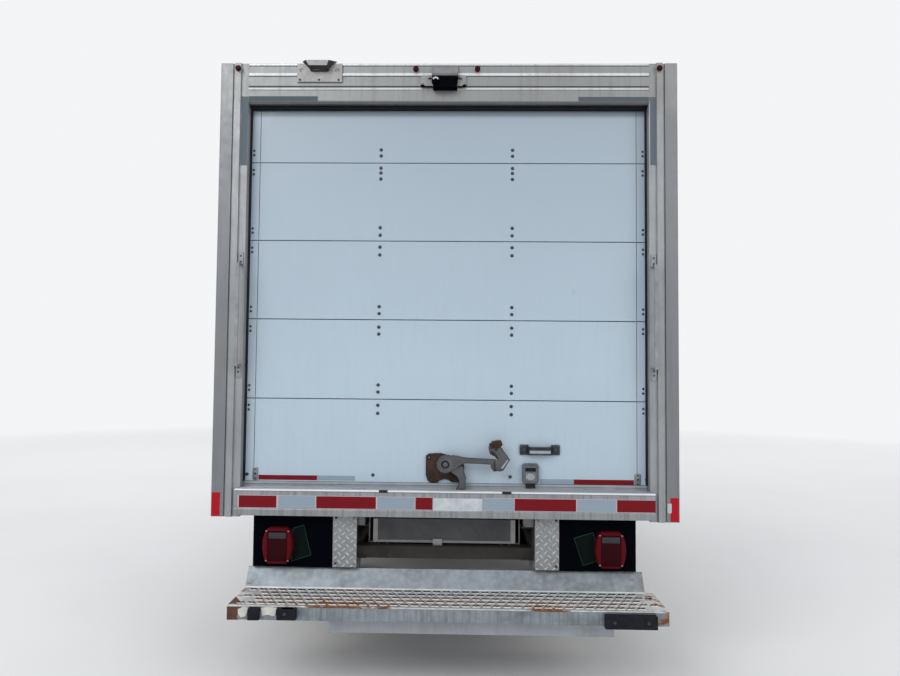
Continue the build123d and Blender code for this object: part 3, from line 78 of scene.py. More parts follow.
class Graph:
    """Nodes of one material, in the truck's own metres; M keeps each by its name."""

    def __init__(self, name, rough=0.5, metal=0.0, **sockets):
        self.mat = bpy.data.materials.new(name)
        self.mat.use_nodes = True
        self.tree = self.mat.node_tree
        self.bsdf = self.tree.nodes["Principled BSDF"]
        self.where = self.node("ShaderNodeTexCoord").outputs["Object"]
        self.bsdf.inputs["Roughness"].default_value = rough
        self.bsdf.inputs["Metallic"].default_value = metal
        for key, value in sockets.items():
            self.bsdf.inputs[key.replace("_", " ")].default_value = value
        M[name] = self

    def node(self, kind, **settings):
        made = self.tree.nodes.new(kind)
        for key, value in settings.items():
            setattr(made, key, value)
        return made

    def put(self, socket, value):
        """Links or sets a socket; three numbers are an 8-bit display colour."""
        if isinstance(value, bpy.types.NodeSocket):
            self.tree.links.new(value, socket)
        elif isinstance(value, tuple) and len(value) == 3:
            socket.default_value = srgb(*value)
        else:
            socket.default_value = value

    def texture(self, kind, scale, stretch, shift=0.0, **settings):
        mapping = self.node("ShaderNodeMapping")
        self.put(mapping.inputs["Vector"], self.where)
        mapping.inputs["Scale"].default_value = stretch
        mapping.inputs["Location"].default_value = (shift, shift * 0.7, shift * 1.3)
        made = self.node(kind, **settings)
        self.put(made.inputs["Vector"], mapping.outputs[0])
        made.inputs["Scale"].default_value = scale
        return made

    def noise(self, scale, stretch=(1, 1, 1), detail=4, rough=0.6, shift=0.0):
        made = self.texture("ShaderNodeTexNoise", scale, stretch, shift)
        made.inputs["Detail"].default_value = detail
        made.inputs["Roughness"].default_value = rough
        return made.outputs[0]

    def cells(self, scale, feature="DISTANCE_TO_EDGE", randomness=1.0):
        made = self.texture("ShaderNodeTexVoronoi", scale, (1, 1, 1), feature=feature)
        made.inputs["Randomness"].default_value = randomness
        return made.outputs["Distance"]

    def span(self, value, low, high, to_low=0.0, to_high=1.0):
        made = self.node("ShaderNodeMapRange")
        self.put(made.inputs[0], value)
        for index, number in enumerate((low, high, to_low, to_high), 1):
            self.put(made.inputs[index], number)
        return made.outputs[0]

    def sum(self, kind, a, b):
        made = self.node("ShaderNodeMath", operation=kind)
        self.put(made.inputs[0], a)
        self.put(made.inputs[1], b)
        return made.outputs[0]

    def mix(self, amount, a, b):
        made = self.node("ShaderNodeMix", data_type="RGBA")
        self.put(made.inputs[0], amount)
        self.put(made.inputs[6], a)
        self.put(made.inputs[7], b)
        return made.outputs[2]

    def place(self, axis):
        split = self.node("ShaderNodeSeparateXYZ")
        self.put(split.inputs[0], self.where)
        return split.outputs[axis]

    def near(self, axis, centre, reach, soft):
        """1 within reach of centre along an axis, falling to 0 over soft."""
        away = self.sum("ABSOLUTE", self.sum("SUBTRACT", self.place(axis), centre), 0.0)
        return self.span(away, reach, reach + soft, 1.0, 0.0)

    def colour(self, value):
        self.put(self.bsdf.inputs["Base Color"], value)

    def lay(self, amount, tone):
        """Puts a tone over a base that is already coloured."""
        under = self.bsdf.inputs["Base Color"].links[0].from_socket
        self.colour(self.mix(amount, under, tone))

    def relief(self, height, distance, strength=0.5, edge=0.0):
        bump = self.node("ShaderNodeBump")
        bump.inputs["Strength"].default_value = strength
        bump.inputs["Distance"].default_value = distance
        self.put(bump.inputs["Height"], height)
        if edge:
            soft = self.node("ShaderNodeBevel", samples=4)
            soft.inputs["Radius"].default_value = edge
            self.put(bump.inputs["Normal"], soft.outputs[0])
        self.put(self.bsdf.inputs["Normal"], bump.outputs[0])


DUST = (122, 114, 104)
RUST = ((112, 66, 40), (62, 40, 30), (150, 98, 62))

# Heights between which the road dirt fades in
DIRT_TOP, DIRT_FULL = 1.3, 0.25


def weathered(name, main, second, patch=3.0, rough=0.45, spread=0.15, metal=0.0, streak=0.0,
              low_dirt=0.0, rust=0.0, grain=None, bump=0.2, bump_scale=180.0, bump_depth=0.0006,
              edge=0.0, grime=None, **sockets):
    """A worn surface: patchy colour, run-down streaks, road dust low down, rust spots and fine relief."""
    g = Graph(name, rough, metal, **sockets)
    grime = grime or DUST
    g.colour(g.mix(g.span(g.noise(patch), 0.3, 0.7), main, second))
    fine = g.noise(patch * 14, detail=6)
    g.lay(g.span(fine, 0.35, 0.75, 0.0, 0.35), second)
    if streak:
        runs = g.noise(9.0, stretch=(6, 6, 0.35), detail=5, shift=3.0)
        g.lay(g.span(runs, 0.48, 0.8, 0.0, streak), grime)
    if low_dirt:
        height = g.span(g.place(2), DIRT_TOP, DIRT_FULL)
        clouds = g.span(g.noise(5.0, detail=6, shift=8.0), 0.3, 0.7, 0.35, 1.0)
        g.lay(g.sum("MULTIPLY", g.sum("MULTIPLY", height, clouds), low_dirt), DUST)
    value = g.span(g.noise(patch * 5, detail=5, shift=5.0), 0.25, 0.75, rough - spread, rough + spread)
    if rust:
        spots = g.span(g.noise(11.0, detail=8, rough=0.75, shift=2.0), 0.66 - 0.25 * rust, 0.72 - 0.1 * rust)
        tone = g.mix(g.span(g.noise(40.0, detail=6), 0.3, 0.7), RUST[0], RUST[1])
        g.lay(spots, tone)
        value = g.sum("MAXIMUM", value, g.sum("MULTIPLY", spots, 0.85))
    g.put(g.bsdf.inputs["Roughness"], value)
    height = g.noise(60.0, stretch=grain) if grain else g.noise(bump_scale)
    g.relief(height, bump_depth, bump, edge)


# Finish of every material slot, then of the pieces that the scene adds
weathered("chassis_paint", (22, 22, 24), (14, 14, 16), rough=0.6, low_dirt=0.28, rust=0.3, bump_depth=0.001,
          edge=0.003, Specular_IOR_Level=0.2)
weathered("engine_metal", (92, 90, 88), (52, 50, 48), patch=8, rough=0.6, metal=0.5, rust=0.3,
          bump_depth=0.002, edge=0.004)
weathered("black_metal", (2, 3, 8), (4, 6, 12), patch=2, rough=0.7, spread=0.1, bump_depth=0.0004,
          edge=0.001, Specular_IOR_Level=0.02)
weathered("cast_metal", (70, 62, 56), (44, 38, 34), patch=12, rough=0.7, metal=0.4, rust=0.8,
          bump_depth=0.002, edge=0.003)
weathered("spring_steel", (52, 46, 42), (34, 31, 30), patch=9, rough=0.6, metal=0.5, rust=0.6, low_dirt=0.4,
          bump_depth=0.001, edge=0.001)
weathered("black_plastic", (28, 29, 31), (36, 37, 39), patch=4, rough=0.5, spread=0.08, bump_scale=900,
          bump_depth=0.0003, edge=0.002)
weathered("exhaust_steel", (128, 116, 104), (86, 74, 64), patch=6, rough=0.5, metal=0.8, rust=0.5,
          low_dirt=0.3, bump_depth=0.0008, edge=0.002)
weathered("cab_paint", (196, 201, 206), (192, 197, 202), patch=0.7, rough=0.28, spread=0.03, low_dirt=0.25,
          bump=0.01, bump_scale=14, bump_depth=0.001, edge=0.004, Coat_Weight=0.5, Coat_Roughness=0.08)
weathered("cab_floor_mat", (42, 42, 44), (56, 54, 52), patch=6, rough=0.8, grain=(1, 12, 1),
          bump_depth=0.002)
weathered("cab_plastic", (66, 68, 72), (56, 58, 62), patch=5, rough=0.62, spread=0.08, bump_scale=1200,
          bump_depth=0.0005, edge=0.006)
weathered("seat_cloth", (78, 84, 96), (62, 66, 76), patch=14, rough=0.92, spread=0.04, bump_scale=420,
          bump_depth=0.0006, Sheen_Weight=0.2)
weathered("grey_plastic", (112, 116, 120), (100, 104, 108), patch=4, rough=0.5, spread=0.08, low_dirt=0.25,
          bump_scale=900, bump_depth=0.0004, edge=0.003)
weathered("lamp_clear", (206, 212, 216), (188, 196, 202), patch=12, rough=0.14, spread=0.05, bump_scale=60,
          bump_depth=0.001, edge=0.004, Coat_Weight=1.0)
weathered("bumper_steel", (196, 200, 204), (176, 180, 186), patch=3, rough=0.2, spread=0.08, metal=0.9,
          low_dirt=0.3, bump_depth=0.0002, edge=0.004)
weathered("galvanised", (132, 135, 136), (110, 113, 115), patch=14, rough=0.5, metal=0.55, low_dirt=0.45,
          rust=0.25, bump_depth=0.0006, edge=0.002)
weathered("body_panel", (206, 211, 215), (196, 202, 207), patch=0.8, rough=0.36, spread=0.08, streak=0.16,
          low_dirt=0.22, bump=0.08, bump_scale=4, bump_depth=0.004, edge=0.004, Coat_Weight=0.15)
weathered("door_panel", (181, 198, 211), (174, 191, 204), patch=0.9, rough=0.34, spread=0.07, streak=0.10,
          bump=0.06, bump_scale=5, bump_depth=0.003, edge=0.0015, grime=(140, 152, 162), Coat_Weight=0.2)
weathered("latch_steel", (98, 98, 100), (72, 72, 75), patch=16, rough=0.55, metal=0.45, rust=0.14, bump=0.4,
          bump_scale=90, bump_depth=0.0015, edge=0.003)
weathered("handle_steel", (152, 155, 158), (122, 126, 130), patch=20, rough=0.4, metal=0.7,
          grain=(10, 10, 0.6), bump_depth=0.0006, edge=0.002)
weathered("bracket_aluminium", (152, 151, 151), (128, 127, 127), patch=11, rough=0.42, metal=0.6,
          bump_depth=0.0006, edge=0.001, streak=0.2)
weathered("treadplate", (156, 158, 159), (130, 132, 133), patch=22, rough=0.42, metal=0.5,
          bump_depth=0.0006, edge=0.001)
weathered("tread_bar", (206, 208, 210), (182, 184, 186), patch=22, rough=0.34, metal=0.4, bump_depth=0.0004)
weathered("ramp_aluminium", (78, 80, 84), (60, 62, 66), patch=6, rough=0.5, metal=0.5, low_dirt=0.2,
          grain=(0.5, 12, 12), bump_depth=0.0005, edge=0.001)
weathered("black_rubber", (22, 24, 30), (36, 37, 42), patch=18, rough=0.8, spread=0.1, bump_scale=240,
          bump_depth=0.002, edge=0.004, Specular_IOR_Level=0.12)
weathered("tyre", (44, 43, 42), (58, 55, 52), patch=9, rough=0.84, spread=0.08, low_dirt=0.3,
          bump_scale=420, bump_depth=0.0008)
weathered("rim_paint", (164, 167, 170), (146, 148, 150), patch=8, rough=0.36, metal=0.5, low_dirt=0.5,
          rust=0.12, bump_depth=0.0004, edge=0.003)


def galvanised_step():
    """Grey zinc with a mottled spangle, rusted through on the tread and its ends, and painted lighter on the
    bar under the lip.
    """
    g = Graph("bumper_galvanised", 0.5, 0.45)
    spangle = g.cells(38.0, feature="F1")
    g.colour(g.mix(g.span(spangle, 0.1, 0.7), (133, 141, 146), (109, 117, 122)))
    g.lay(g.span(g.noise(7.0, detail=7), 0.35, 0.7), (148, 157, 164))
    runs = g.noise(16.0, stretch=(5, 1, 0.25), detail=6, shift=4.0)
    low = g.span(g.place(2), STEP_TOP + 0.004, STEP_TOP - 0.004)
    g.lay(g.sum("MULTIPLY", g.span(runs, 0.46, 0.7, 0.0, 0.6), g.sum("MAXIMUM", low, 0.12)), (84, 87, 86))
    blots = g.noise(34.0, detail=8, rough=0.75, shift=12.0)
    g.lay(g.span(blots, 0.52, 0.72, 0.0, 0.5), (104, 112, 116))
    # Painted light: the bar under the lip made lighter to cancel the shade it sits in
    g.lay(g.span(g.place(2), 0.353, 0.347, 0.0, 0.55), (178, 183, 187))
    flat = g.near(2, STEP_TOP, 0.003, 0.003)
    worn = g.mix(g.span(g.noise(14.0, detail=7, shift=7.0), 0.3, 0.7), (208, 210, 210), (176, 179, 180))
    g.lay(flat, worn)
    tread = g.sum("MULTIPLY", flat, g.span(g.place(1), REAR - 0.02, STEP_LIP, 0.0, 0.8))
    ends = g.span(g.sum("ABSOLUTE", g.place(0), 0.0), 0.80, 0.95, 0.0, 0.9)
    middle = g.sum("MAXIMUM", g.near(0, -0.42, 0.12, 0.25), g.near(0, 0.45, 0.03, 0.14))
    middle = g.sum("MULTIPLY", middle, 2.0)
    where = g.sum("MAXIMUM", g.sum("MULTIPLY", tread, g.sum("MAXIMUM", middle, 0.55)), ends)
    clumps = g.noise(16.0, stretch=(0.7, 1.6, 1.6), detail=8, rough=0.72, shift=1.0)
    rust = g.span(g.sum("ADD", clumps, g.sum("MULTIPLY", where, 0.18)), 0.66, 0.76)
    brown = g.mix(g.span(g.noise(60.0, detail=5), 0.3, 0.7), RUST[2], RUST[0])
    g.lay(rust, brown)
    dark = g.span(g.noise(30.0, detail=6, shift=6.0), 0.62, 0.72)
    g.lay(g.sum("MULTIPLY", dark, rust), RUST[1])
    g.put(g.bsdf.inputs["Roughness"], g.span(rust, 0.0, 1.0, 0.46, 0.85))
    g.relief(g.noise(120.0, detail=6), 0.0012, 0.4, 0.002)


def rear_frame():
    """Dull aluminium: a slightly darker header with painted highlights on its upward-facing ridges and top
    edge and painted shadow lines in its grooves and along its lower lip, darker outer bands, run-down grime
    and small dark marks.
    """
    g = Graph("frame_aluminium", 0.46, 0.5)
    g.colour(g.mix(g.span(g.noise(5.0), 0.3, 0.7), (156, 159, 162), (142, 145, 148)))
    header = g.span(g.place(2), TOP - 0.26, TOP - 0.19)
    g.lay(g.sum("MULTIPLY", header, 0.85), (138, 140, 140))
    across = g.span(g.sum("ABSOLUTE", g.place(0), 0.0), 0.975, 0.971)
    # Pale lines are painted highlights where the header's ridges and top edge face up; dark lines are painted
    # shadow in its grooves and along its lower lip, over the door gap
    lines = (
        # drop from the top, half width, strength, tone
        (0.0545, 0.0065, 0.95, 222), (0.125, 0.005, 0.9, 212), (0.006, 0.004, 0.8, 216),
        (0.1945, 0.0050, 0.9, 84), (0.0135, 0.0006, 0.8, 92), (0.0650, 0.0008, 0.8, 90),
        (0.1150, 0.0014, 0.8, 84),
    )
    for drop, half, share, tone in lines:
        line = g.sum("MULTIPLY", across, g.near(2, TOP - drop, half, 0.0008 + half * 0.2))
        g.lay(g.sum("MULTIPLY", line, share), (tone, tone + 2, tone + 4))
    outer = g.span(g.sum("ABSOLUTE", g.place(0), 0.0), HALF_BODY - 0.066, HALF_BODY - 0.058)
    g.lay(g.sum("MULTIPLY", outer, g.sum("SUBTRACT", 0.75, g.sum("MULTIPLY", header, 0.6))),
          (112, 115, 118))
    runs = g.noise(11.0, stretch=(7, 7, 0.3), detail=6, shift=3.0)
    g.lay(g.span(runs, 0.50, 0.78, 0.0, 0.45), (104, 104, 104))
    clouds = g.noise(3.2, detail=8, rough=0.7, shift=9.0)
    g.lay(g.span(clouds, 0.52, 0.7, 0.0, 0.3), (118, 116, 112))
    marks = g.span(g.noise(46.0, detail=7, rough=0.75, shift=5.0), 0.70, 0.76)
    g.lay(g.sum("MULTIPLY", marks, 0.7), (78, 74, 70))
    g.put(g.bsdf.inputs["Roughness"], g.span(g.noise(25.0, detail=5), 0.25, 0.75, 0.34, 0.58))
    g.relief(g.noise(60.0, stretch=(14, 14, 0.5)), 0.0006, 0.15, 0.0015)


def rear_sill():
    """Worn steel sill: pale on top with a painted highlight along its rounded front edge, greyer below the
    tapes with long drips and light rust.
    """
    g = Graph("sill_steel", 0.42, 0.3)
    g.colour(g.mix(g.span(g.noise(9.0, stretch=(0.4, 1, 1)), 0.3, 0.7), (158, 161, 165), (136, 139, 143)))
    top = g.span(g.place(2), SILL - 0.012, SILL - 0.006)
    front = g.span(g.place(1), REAR - 0.007, REAR - 0.012)
    g.lay(g.sum("MULTIPLY", top, 0.7), (150, 155, 160))
    # Painted highlight: white along the front of the top, where its rounded nose catches the light
    g.lay(g.sum("MULTIPLY", g.sum("MULTIPLY", top, front), 0.95), (232, 235, 240))
    g.lay(g.sum("MULTIPLY", g.near(2, SILL - 0.0103, 0.0008, 0.0005), 0.8), (64, 66, 70))
    lip = g.span(g.place(2), SILL - 0.078, SILL - 0.086)
    g.lay(g.sum("MULTIPLY", lip, 0.55), (132, 138, 140))
    runs = g.noise(22.0, stretch=(3.4, 1, 0.12), detail=6, shift=3.0)
    g.lay(g.sum("MULTIPLY", g.span(runs, 0.46, 0.7, 0.0, 0.65), g.sum("SUBTRACT", 1.0, top)), (100, 99, 95))
    rust = g.span(g.noise(13.0, stretch=(0.6, 1, 2.0), detail=8, rough=0.75, shift=2.0), 0.60, 0.68)
    g.lay(g.sum("MULTIPLY", rust, g.sum("MULTIPLY", lip, 0.6)), (134, 104, 80))
    g.put(g.bsdf.inputs["Roughness"], g.span(g.noise(30.0, detail=5), 0.25, 0.75, 0.3, 0.56))
    g.relief(g.noise(60.0, stretch=(0.6, 14, 14)), 0.0006, 0.2, 0.0015)


def wood_floor():
    """Hardwood boards along the truck, scuffed grey."""
    g = Graph("floor_wood", 0.6)
    board = g.noise(7.0, stretch=(1, 0.02, 1), detail=1)
    grain = g.noise(30.0, stretch=(6, 0.3, 1), detail=7)
    g.colour(g.mix(g.span(grain, 0.3, 0.7), (150, 116, 78), (108, 78, 50)))
    g.lay(g.span(board, 0.4, 0.6, 0.0, 0.5), (132, 98, 66))
    g.lay(g.span(g.noise(4.0, detail=7), 0.5, 0.75, 0.0, 0.6), (120, 112, 102))
    g.relief(grain, 0.001, 0.4)


def lens(name, deep, bright, rough, cell):
    """Moulded lens with fine prisms behind a glossy skin."""
    g = Graph(name, rough, 0.0, Coat_Weight=0.02, Coat_Roughness=0.2, Specular_IOR_Level=0.05)
    prisms = g.cells(cell, randomness=0.05)
    g.colour(g.mix(g.span(prisms, 0.02, 0.3), deep, bright))
    g.lay(g.span(g.noise(25.0, detail=5), 0.4, 0.75, 0.0, 0.4), deep)
    g.relief(prisms, 0.001, 0.35, 0.002)


def clear_glass(name, tint, dark, clear=0.97):
    """Tinted glass with a film of dust in its corners."""
    g = Graph(name, 0.03, 0.0, IOR=1.45)
    g.bsdf.inputs["Transmission Weight"].default_value = clear
    film = g.noise(3.0, detail=7)
    g.colour(g.mix(g.span(film, 0.3, 0.8), tint, dark))
    g.put(g.bsdf.inputs["Roughness"], g.span(film, 0.45, 0.85, 0.015, 0.12))


def tape(name, main, second):
    """Reflective tape: fine honeycomb under a clear film, scuffed."""
    g = Graph(name, 0.6, 0.0, Specular_IOR_Level=0.1)
    comb = g.cells(260.0, randomness=0.1)
    g.colour(g.mix(g.span(comb, 0.02, 0.12), second, main))
    g.lay(g.span(g.noise(20.0, detail=8), 0.55, 0.8, 0.0, 0.35), second)
    g.relief(comb, 0.0002, 0.3)


galvanised_step()
rear_frame()
rear_sill()
wood_floor()
lens("lamp_red", (74, 10, 18), (104, 15, 26), 0.35, 190.0)
lens("marker_red", (40, 10, 14), (70, 20, 26), 0.3, 260.0)
clear_glass("glass", (230, 238, 238), (216, 226, 228))
clear_glass("cover", (250, 251, 252), (240, 243, 245), 1.0)
tape("tape_red", (122, 22, 32), (98, 18, 27))
tape("tape_white", (148, 164, 177), (124, 139, 151))
tape("tape_grey", (100, 110, 118), (82, 91, 99))
tape("tape_edge", (196, 178, 182), (176, 160, 166))
lens("lamp_deep", (34, 4, 9), (58, 8, 16), 0.4, 150.0)
lens("lamp_window", (48, 46, 52), (76, 74, 80), 0.3, 120.0)
lens("amber", (168, 70, 4), (220, 104, 8), 0.2, 170.0)
weathered("mirror_glass", (170, 178, 184), (160, 168, 174), rough=0.05, spread=0.02, metal=1.0, bump=0.0)
weathered("rusty", RUST[0], RUST[1], patch=26, rough=0.82, spread=0.08, metal=0.1, rust=0.5, bump=0.8,
          bump_scale=120, bump_depth=0.003, edge=0.002)
# Camera hood: its aluminium painted darker than the ears', as painted shade on its upward face
weathered("hood_shaded_grey", (116, 116, 118), (98, 98, 100), patch=18, rough=0.5, metal=0.4, bump_depth=0.0004,
          edge=0.001)
weathered("lock_grey", (104, 111, 119), (84, 91, 98), patch=30, rough=0.5, metal=0.3, bump_depth=0.0004,
          edge=0.001)
weathered("plate_rust", (70, 46, 37), (32, 25, 24), patch=22, rough=0.85, spread=0.08, metal=0.1, rust=0.35,
          bump=0.9, bump_scale=140, bump_depth=0.003)
weathered("foot_grey", (158, 164, 168), (134, 140, 144), patch=14, rough=0.6, grain=(0.4, 1, 20),
          bump_depth=0.0004)
weathered("foot_light", (166, 174, 180), (146, 154, 160), patch=14, rough=0.5, grain=(0.4, 1, 20),
          bump_depth=0.0004)
weathered("olive_mark", (62, 62, 48), (44, 44, 36), patch=60, rough=0.6, bump_depth=0.0002)
weathered("screw", (150, 152, 154), (112, 114, 116), patch=60, rough=0.38, metal=0.8, bump_depth=0.0002)
weathered("bolt_dark", (70, 76, 84), (48, 52, 58), patch=80, rough=0.45, metal=0.6, bump_depth=0.0002)
weathered("green_patch", (10, 24, 20), (6, 15, 14), patch=30, rough=0.6, bump_depth=0.0002,
          Specular_IOR_Level=0.05)
weathered("pale_line", (34, 74, 58), (24, 56, 44), patch=40, rough=0.5, bump_depth=0.0002,
          Specular_IOR_Level=0.1)
# Dark grey for painted shade in slots, on shaded faces and along edges, and for the door's stile lines
weathered("shade_and_grime", (66, 68, 70), (46, 47, 50), patch=50, rough=0.8, bump_depth=0.0006,
          Specular_IOR_Level=0.15)
# Cream white: a painted highlight on the lit near crests of the step's lips, and the glue smears left by a
# torn pad
weathered("crest_highlight_and_glue", (222, 220, 212), (196, 194, 188), patch=40, rough=0.5, bump_depth=0.0004)
tape("post_red", (176, 26, 40), (146, 22, 34))
weathered("label", (206, 212, 218), (172, 178, 184), patch=24, rough=0.5, bump=0.9, bump_scale=28,
          bump_depth=0.003)
weathered("black_gap", (14, 14, 15), (22, 21, 21), patch=30, rough=0.8, bump_depth=0.0004)
weathered("reflector", (186, 189, 192), (170, 173, 176), patch=14, rough=0.14, spread=0.04, metal=0.95,
          bump_depth=0.0002)

# Painted shade on the door: its tone darkens towards the top, with a dark band just under the header, where
# the header's overhang shades it
door_skin = M["door_panel"]
for low, high, most, tone in ((SILL + 0.55, SILL + 1.75, 1.0, (158, 172, 184)),
                              (TOP - 0.250, TOP - 0.232, 0.8, (100, 108, 116))):
    door_skin.lay(door_skin.span(door_skin.place(2), low, high, 0.0, most), tone)

slot_of = {row["node"]: row["material_slot"] for row in frame["record"]["subparts"]}
for node_name, thing in nodes.items():
    thing.data.materials.clear()
    thing.data.materials.append(M[slot_of[node_name]].mat)
    thing.data.shade_smooth()
    thing.data.set_sharp_from_angle(angle=math.radians(32))


def band(a, b, count, around=True):
    """Faces between row a and row b of a mesh with count points in each row."""
    faces = []
    for i in range(count if around else count - 1):
        j = (i + 1) % count
        faces.append([a * count + i, a * count + j, b * count + j, b * count + i])
    return faces


def skin(rows, count, closed=False):
    """Faces over rows of count points: the last joined to the first if closed, else both capped."""
    faces = []
    for row in range(rows if closed else rows - 1):
        faces += band(row, (row + 1) % rows, count)
    if not closed:
        faces.append(list(range(count)))
        faces.append(list(range((rows - 1) * count, rows * count))[::-1])
    return faces


def circle(centre, side, other, radius, segments):
    """Points round a circle in the plane of two directions."""
    turns = [2 * math.pi * step / segments for step in range(segments)]
    return [centre + (side * math.cos(turn) + other * math.sin(turn)) * radius for turn in turns]


def linked(name, data):
    """A new object in the scene."""
    made = bpy.data.objects.new(name, data)
    bpy.context.scene.collection.objects.link(made)
    return made


class Build:
    """Gathers the faces of one joined mesh, in the truck's frame."""

    def __init__(self, *finishes):
        self.finishes = finishes
        self.verts, self.faces, self.which = [], [], []

    def add(self, verts, faces, finish=0):
        base = len(self.verts)
        self.verts += [tuple(v) for v in verts]
        self.faces += [[base + i for i in face] for face in faces]
        self.which += [finish] * len(faces)

    def prism(self, outline, axis, low, high, finish=0):
        """An outline in the other two axes, pushed along an axis."""
        count = len(outline)
        ends = []
        for level in (low, high):
            for point in outline:
                place = list(point)
                place.insert(axis, level)
                ends.append(place)
        caps = [list(range(count)), list(range(2 * count - 1, count - 1, -1))]
        self.add(ends, caps + band(0, 1, count), finish)

    def box(self, x0, x1, y0, y1, z0, z1, finish=0):
        self.prism([(y0, z0), (y1, z0), (y1, z1), (y0, z1)], 0, x0, x1, finish)

    def lathe(self, profile, centre, axis, segments=24, finish=0, closed=False):
        """A (distance along, radius) profile turned about an axis through centre."""
        axis = Vector(axis).normalized()
        side = axis.orthogonal().normalized()
        other = axis.cross(side)
        verts = []
        for along, radius in profile:
            verts += circle(Vector(centre) + axis * along, side, other, radius, segments)
        self.add(verts, skin(len(profile), segments, closed), finish)

    def dome(self, centre, axis, radius, height, finish=0, segments=12):
        """A round-headed fastener."""
        profile = [(0, radius), (height * 0.35, radius * 0.96), (height * 0.75, radius * 0.7),
                   (height, radius * 0.25)]
        self.lathe(profile, centre, axis, segments, finish)

    def hexagon(self, centre, axis, radius, height, finish=0):
        self.lathe([(0, radius), (height * 0.8, radius), (height, radius * 0.85)], centre, axis, 6, finish)

    def tube(self, points, radius, segments=10, finish=0, closed=False):
        """A round bar through the points, or a bead that comes back to the first of them."""
        points = [Vector(p) for p in points]
        count = len(points)
        verts = []
        side = None
        for index, point in enumerate(points):
            before, after = max(index - 1, 0), min(index + 1, count - 1)
            if closed:
                before, after = index - 1, (index + 1) % count
            along = (points[after] - points[before]).normalized()
            side = along.orthogonal() if side is None else side - along * side.dot(along)
            side.normalize()
            verts += circle(point, side, along.cross(side), radius, segments)
        self.add(verts, skin(count, segments, closed), finish)

    def mirrored(self):
        """Adds the mirror image in the truck's middle plane."""
        base = len(self.verts)
        self.verts += [(-x, y, z) for x, y, z in self.verts]
        self.faces += [[base + i for i in face[::-1]] for face in self.faces]
        self.which += self.which

    def mesh(self, name):
        """The mesh, its double points joined and its faces turned outwards."""
        made = bpy.data.meshes.new(name)
        made.from_pydata(self.verts, [], self.faces)
        work = bmesh.new()
        work.from_mesh(made)
        bmesh.ops.remove_doubles(work, verts=work.verts, dist=1e-7)
        bmesh.ops.recalc_face_normals(work, faces=work.faces)
        work.to_mesh(made)
        work.free()
        return made

    def piece(self, name, body="truck", slot=None, bevel=0.0, smooth=38):
        """The finished object, riding on a body and coloured by its finishes; slot is not used."""
        mesh = self.mesh(name)
        for finish in self.finishes:
            mesh.materials.append(M[finish].mat)
        if len(mesh.polygons) == len(self.which):
            mesh.polygons.foreach_set("material_index", self.which)
        mesh.shade_smooth()
        mesh.set_sharp_from_angle(angle=math.radians(smooth))
        made = linked(name, mesh)
        if bevel:
            rounded = made.modifiers.new("rounded", "BEVEL")
            rounded.width = bevel
            rounded.segments = 2
            rounded.limit_method = "ANGLE"
            rounded.angle_limit = math.radians(40)
        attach(made, body)
        return made


BACK = (0, -1, 0)


def mm(*values):
    return [value / 1000 for value in values]


def either(side, near, far):
    """The span between two distances from the middle plane, on one side of it."""
    return sorted((side * near, side * far))


# Camera: the photograph's own place, aim and focal length
def camera():
    yaw, pitch, roll = -0.0212, 0.0453, -0.0091
    place = (0.0938, REAR - 3.3416, 1.4512)
    right = Vector((math.cos(yaw), -math.sin(yaw), 0))
    level = Vector((math.sin(yaw), math.cos(yaw), 0))
    up = Vector((0, 0, 1))
    ahead = level * math.cos(pitch) + up * math.sin(pitch)
    top = up * math.cos(pitch) - level * math.sin(pitch)
    cam_right = right * math.cos(roll) - top * math.sin(roll)
    cam_up = right * math.sin(roll) + top * math.cos(roll)
    data = bpy.data.cameras.new("camera")
    data.sensor_width = 36.0
    data.lens = 28.0
    made = linked("camera", data)
    turn = Matrix((cam_right, cam_up, -ahead)).transposed()
    made.matrix_world = Matrix.Translation(place) @ turn.to_4x4()
    bpy.context.scene.camera = made


# Studio: pale floor, pale surroundings, soft lamps
BACKDROP = (0.90, 0.91, 0.92, 1)


def surroundings():
    scene = bpy.context.scene
    scene.view_settings.view_transform = "Standard"
    world = bpy.data.worlds.new("studio")
    scene.world = world
    world.use_nodes = True
    tree = world.node_tree
    light = tree.nodes["Background"]
    light.inputs["Color"].default_value = (0.93, 0.96, 1.0, 1)
    light.inputs["Strength"].default_value = 0.56
    seen = tree.nodes.new("ShaderNodeBackground")
    seen.inputs["Color"].default_value = BACKDROP
    path = tree.nodes.new("ShaderNodeLightPath")
    mix = tree.nodes.new("ShaderNodeMixShader")
    most = path.outputs["Is Camera Ray"]
    for name in ("Is Glossy Ray", "Is Transmission Ray"):
        bigger = tree.nodes.new("ShaderNodeMath")
        bigger.operation = "MAXIMUM"
        tree.links.new(most, bigger.inputs[0])
        tree.links.new(path.outputs[name], bigger.inputs[1])
        most = bigger.outputs[0]
    tree.links.new(most, mix.inputs[0])
    tree.links.new(light.outputs[0], mix.inputs[1])
    tree.links.new(seen.outputs[0], mix.inputs[2])
    tree.links.new(mix.outputs[0], tree.nodes["World Output"].inputs[0])


def lamps():
    spots = (
        # place, size, power
        ((-5.0, -9.0, 7.0), 6.0, 360),
        ((6.0, -8.0, 5.0), 5.0, 190),
        ((0.0, 2.0, 9.0), 9.0, 250),
        ((-7.0, 6.0, 6.0), 5.0, 165),
        ((7.0, 7.0, 6.0), 5.0, 150),
    )
    for index, (place, size, power) in enumerate(spots):
        data = bpy.data.lights.new(f"lamp_{index}", "AREA")
        data.shape = "DISK"
        data.size = size
        data.energy = power
        made = linked(f"lamp_{index}", data)
        made.location = place
        made.rotation_mode = "QUATERNION"
        made.rotation_quaternion = (Vector((0, 0, 1.2)) - Vector(place)).to_track_quat("-Z", "Y")


